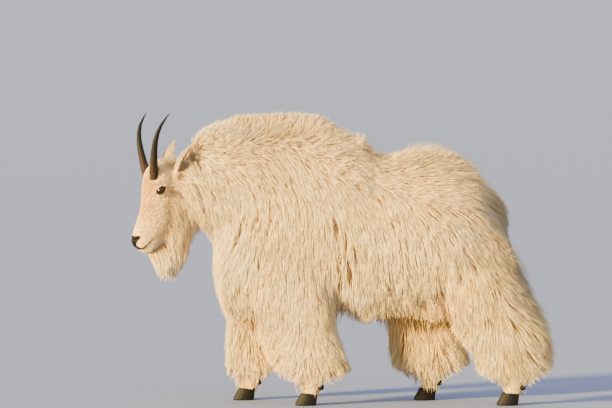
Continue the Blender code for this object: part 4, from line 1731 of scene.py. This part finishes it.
markings, m, start, end = new_group("coat markings", [("Place", "Vector")], [("Color", "Color")])
place = start["Place"]
warm = m.math("MULTIPLY", m.step(m.noise(place, 3.2, 4.0), 0.42, 0.70), 0.55)
tint = m.mix(warm, IVORY, STRAW)
tint = m.mix(m.step(m.noise(place, 9.0, 3.0), 0.50, 0.75), tint, WHITE)
flat = m.add("VectorMath", {0: place, 1: FLATTENED}, operation="MULTIPLY").outputs["Vector"]
for middle, reach, dye, strength in PATCHES:
    middle = tuple(float(c * share) for c, share in zip(middle, FLATTENED))
    gap = m.add("VectorMath", {0: flat, 1: middle}, operation="DISTANCE")
    share = m.math("MULTIPLY", m.step(gap.outputs["Value"], reach, reach * 0.2), strength)
    tint = m.mix(share, tint, dye)
m.put(end["Color"], tint)
print("markings from", len(PATCHES), "patches")

# %% [markdown]
# The hair itself: pale and clean at the tip, warmer and darker down at its root, where light
# hardly gets in, and each lock a little lighter or darker than its neighbours. A light sheen
# stands for the countless fine hairs that catch light at the edge.

# %% The material of the coat
def hair_material(name, root_shade, spread):
    made, n, shader = new_material(name)
    tint = n.group(markings, place=n.place())["Color"]
    deep = n.mix(1.0, tint, root_shade, "MULTIPLY")
    tint = n.mix(n.step(n.attribute("along"), 0.10, 0.75), deep, tint)
    tone = n.math("ADD", n.math("MULTIPLY", n.attribute("tone"), spread), 1.0 - spread)
    shade = n.add("CombineColor", {0: tone, 1: tone, 2: n.math("POWER", tone, 1.35)}).outputs[0]
    n.put(shader.inputs["Base Color"], n.mix(1.0, tint, shade, "MULTIPLY"))
    finish_of(shader, {"Roughness": 0.62, "Specular IOR Level": 0.35, "Sheen Weight": 0.25,
                       "Sheen Roughness": 0.45})
    return made


long_hair = hair_material("long hair", colour(224, 196, 152), 0.24)
short_hair = hair_material("short hair", colour(240, 224, 202), 0.10)
for name, piece in coat.items():
    wear(piece, long_hair if name in PIECES else short_hair)
print("hair on", len(coat), "pieces of the coat")

# %% [markdown]
# The skin shows between the short locks of the face. It wears the same markings, with a fine
# bump of flat hair, and turns to damp black leather on the nose pad, the lips and the lids.

# %% The material of the skin
skin_material, n, shader = new_material("skin and flat hair")
place = n.place()
bare_share = n.attribute("bare")
tint = n.group(markings, place=place)["Color"]
fine = n.noise(n.stretched(place, (420, 420, 150)), 1.0, 2.0)
tint = n.mix(n.step(fine, 0.35, 0.70), n.mix(1.0, tint, colour(214, 186, 152), "MULTIPLY"), tint)
leather = n.mix(n.noise(place, 260.0), colour(3, 3, 3), colour(9, 8, 7))
n.put(shader.inputs["Base Color"], n.mix(bare_share, tint, leather))
n.put(shader.inputs["Roughness"], n.math("SUBTRACT", 0.75, n.math("MULTIPLY", bare_share, 0.20)))
finish_of(shader, {"Specular IOR Level": 0.12})
pebbles = n.add("TexVoronoi", {"Vector": place, "Scale": 620.0}).outputs["Distance"]
relief = n.mix(bare_share, fine, pebbles)
bump = n.add("Bump", {"Height": relief, "Strength": 0.6, "Distance": 0.0009})
n.put(shader.inputs["Normal"], bump.outputs["Normal"])
wear(skin_thing, skin_material)
print("the skin wears", skin_material.name)

# %% [markdown]
# The eye is dark brown, with fine spokes in the iris, a darker outer ring and a lying pupil. The
# cornea in front of it is a clear coat, which gives the wet glint.

# %% The material of the eyes
PUPIL_HALF_LENGTH = 0.0068
PUPIL_HALF_HEIGHT = 0.0027

eye_material, n, shader = new_material("brown eye")
parts_of_gaze = n.add("SeparateXYZ", {0: n.attribute("gaze", "Vector")}).outputs
along, across, out = parts_of_gaze[0], parts_of_gaze[1], parts_of_gaze[2]
off = n.math("SQRT", n.math("ADD", n.math("MULTIPLY", along, along),
                            n.math("MULTIPLY", across, across)))
turn = n.math("ARCTAN2", across, along)
spokes_place = n.add("CombineXYZ", {0: n.math("MULTIPLY", turn, 6.0),
                                    1: n.math("MULTIPLY", off, 90.0)}).outputs[0]
spokes = n.noise(spokes_place, 3.0, 2.0)
iris = n.mix(spokes, colour(22, 8, 4), colour(50, 20, 10))
iris = n.mix(n.step(off, 0.0078, 0.0112), iris, colour(7, 4, 3))
wide = n.math("POWER", n.math("ABSOLUTE", n.math("DIVIDE", along, PUPIL_HALF_LENGTH)), 3.0)
tall = n.math("POWER", n.math("ABSOLUTE", n.math("DIVIDE", across, PUPIL_HALF_HEIGHT)), 3.0)
pupil = n.step(n.math("ADD", wide, tall), 1.15, 0.85)
n.put(shader.inputs["Base Color"], n.mix(pupil, iris, colour(3, 3, 4)))
finish_of(shader, {"Roughness": 0.28, "Coat Weight": 0.35, "Specular IOR Level": 0.2,
                   "Coat Roughness": 0.03})
for side in EYES:
    wear(bpy.data.objects["eyeball_" + side], eye_material)
print("pupils", PUPIL_HALF_LENGTH * 2000, "mm long")

# %% [markdown]
# Horn and hoof are the same stuff. On the goat's head it is warm brown and dusty in the grooves
# of the base, and polished black towards the tips; on the feet it is dull black-brown.

# %% The material of horn and hoof
fibres, m, start, end = new_group("horn fibres", [("Place", "Vector")],
                                  [("Streaks", "Float"), ("Flecks", "Float")])
m.put(end["Streaks"], m.noise(m.stretched(start["Place"], (700, 700, 45)), 1.0, 4.0))
m.put(end["Flecks"], m.step(m.noise(m.stretched(start["Place"], (160, 160, 260)), 1.0, 4.0, 0.7),
                            0.52, 0.72))


def horn_material(name, low, dark, pale, tip, rough):
    """Horn that changes from its base colours to 'tip' between two heights, or not at all."""
    made, n, shader = new_material(name)
    place = n.place()
    out = n.group(fibres, place=place)
    tint = n.mix(out["Streaks"], dark, pale)
    height = n.add("SeparateXYZ", {0: place}).outputs[2]
    if low:
        dust = n.math("MULTIPLY", out["Flecks"], n.step(height, low + 0.10, low))
        tint = n.mix(dust, tint, colour(92, 68, 46))
        tint = n.mix(n.step(height, low + 0.02, low + 0.15), tint, tip)
    n.put(shader.inputs["Base Color"], tint)
    n.put(shader.inputs["Roughness"], n.math("ADD", rough, n.math("MULTIPLY", out["Streaks"], 0.2)))
    finish_of(shader, {"Specular IOR Level": 0.2})
    bump = n.add("Bump", {"Height": out["Streaks"], "Strength": 0.5, "Distance": 0.0006})
    n.put(shader.inputs["Normal"], bump.outputs["Normal"])
    return made


horn_look = horn_material("horn sheath", 0.80, colour(15, 10, 7), colour(38, 25, 17),
                          colour(4, 4, 4), 0.60)
claw_look = horn_material("claw horn", 0.0, colour(7, 6, 5), colour(18, 14, 12),
                          colour(6, 5, 5), 0.60)
for side in SIDES:
    wear(bpy.data.objects["horn_sheath_" + side], horn_look)
for claw in claws:
    wear(claw, claw_look)
print("horn on 2 sheaths and", len(claws), "claws")

# %% [markdown]
# The studio has a pale floor that runs on to the horizon. It is matt, with a faint speckle, and
# so large that its far edge lies beyond what the long lens can tell from the horizon.

# %% Floor
FLOOR_HALF = 1500.0

bm = bmesh.new()
bmesh.ops.create_grid(bm, x_segments=1, y_segments=1, size=FLOOR_HALF)
studio_floor = made_of(bm, "studio_floor")
floor_look, n, shader = new_material("pale floor")
speckle = n.noise(n.place(), 14.0)
n.put(shader.inputs["Base Color"], n.mix(speckle, colour(104, 114, 142), colour(108, 118, 145)))
finish_of(shader, {"Roughness": 0.9, "Specular IOR Level": 0.1})
wear(studio_floor, floor_look)
print("floor of", FLOOR_HALF * 2, "m")

# %% [markdown]
# A warm, low key light comes from the goat's front left, as on a winter evening, and an even,
# cool light from all round. The backdrop has the colour of the lit floor, so that hardly a line
# shows where they meet.

# %% Lights and backdrop
KEY_POWER = 31.0
KEY_COLOUR = (1.0, 0.73, 0.29)
KEY_SOFTNESS = math.radians(7)
KEY_WAY = Vector((0.79, 0.56, -0.24))
FILL_POWER = 1.8
FILL_COLOUR = (0.90, 0.90, 1.0, 1.0)
BACKDROP = colour(213, 213, 227)

sun_data = bpy.data.lights.new("low_key_light", "SUN")
sun_data.energy = KEY_POWER
sun_data.angle = KEY_SOFTNESS
sun_data.color = KEY_COLOUR
sun = link(bpy.data.objects.new("low_key_light", sun_data))
sun.rotation_euler = KEY_WAY.to_track_quat("-Z", "Y").to_euler()

world = bpy.data.worlds.new("studio")
bpy.context.scene.world = world
world.use_nodes = True
n = Nodes(world.node_tree)
backgrounds = [node for node in world.node_tree.nodes if node.type == "BACKGROUND"]
fill = backgrounds[0]
finish_of(fill, {"Color": FILL_COLOUR, "Strength": FILL_POWER})
seen = n.add("Background", {"Color": BACKDROP, "Strength": 1.0})
is_camera = n.add("LightPath").outputs["Is Camera Ray"]
both = n.add("MixShader", {0: is_camera, 1: fill.outputs[0], 2: seen.outputs[0]})
output = [node for node in world.node_tree.nodes if node.type == "OUTPUT_WORLD"][0]
n.put(output.inputs["Surface"], both.outputs[0])
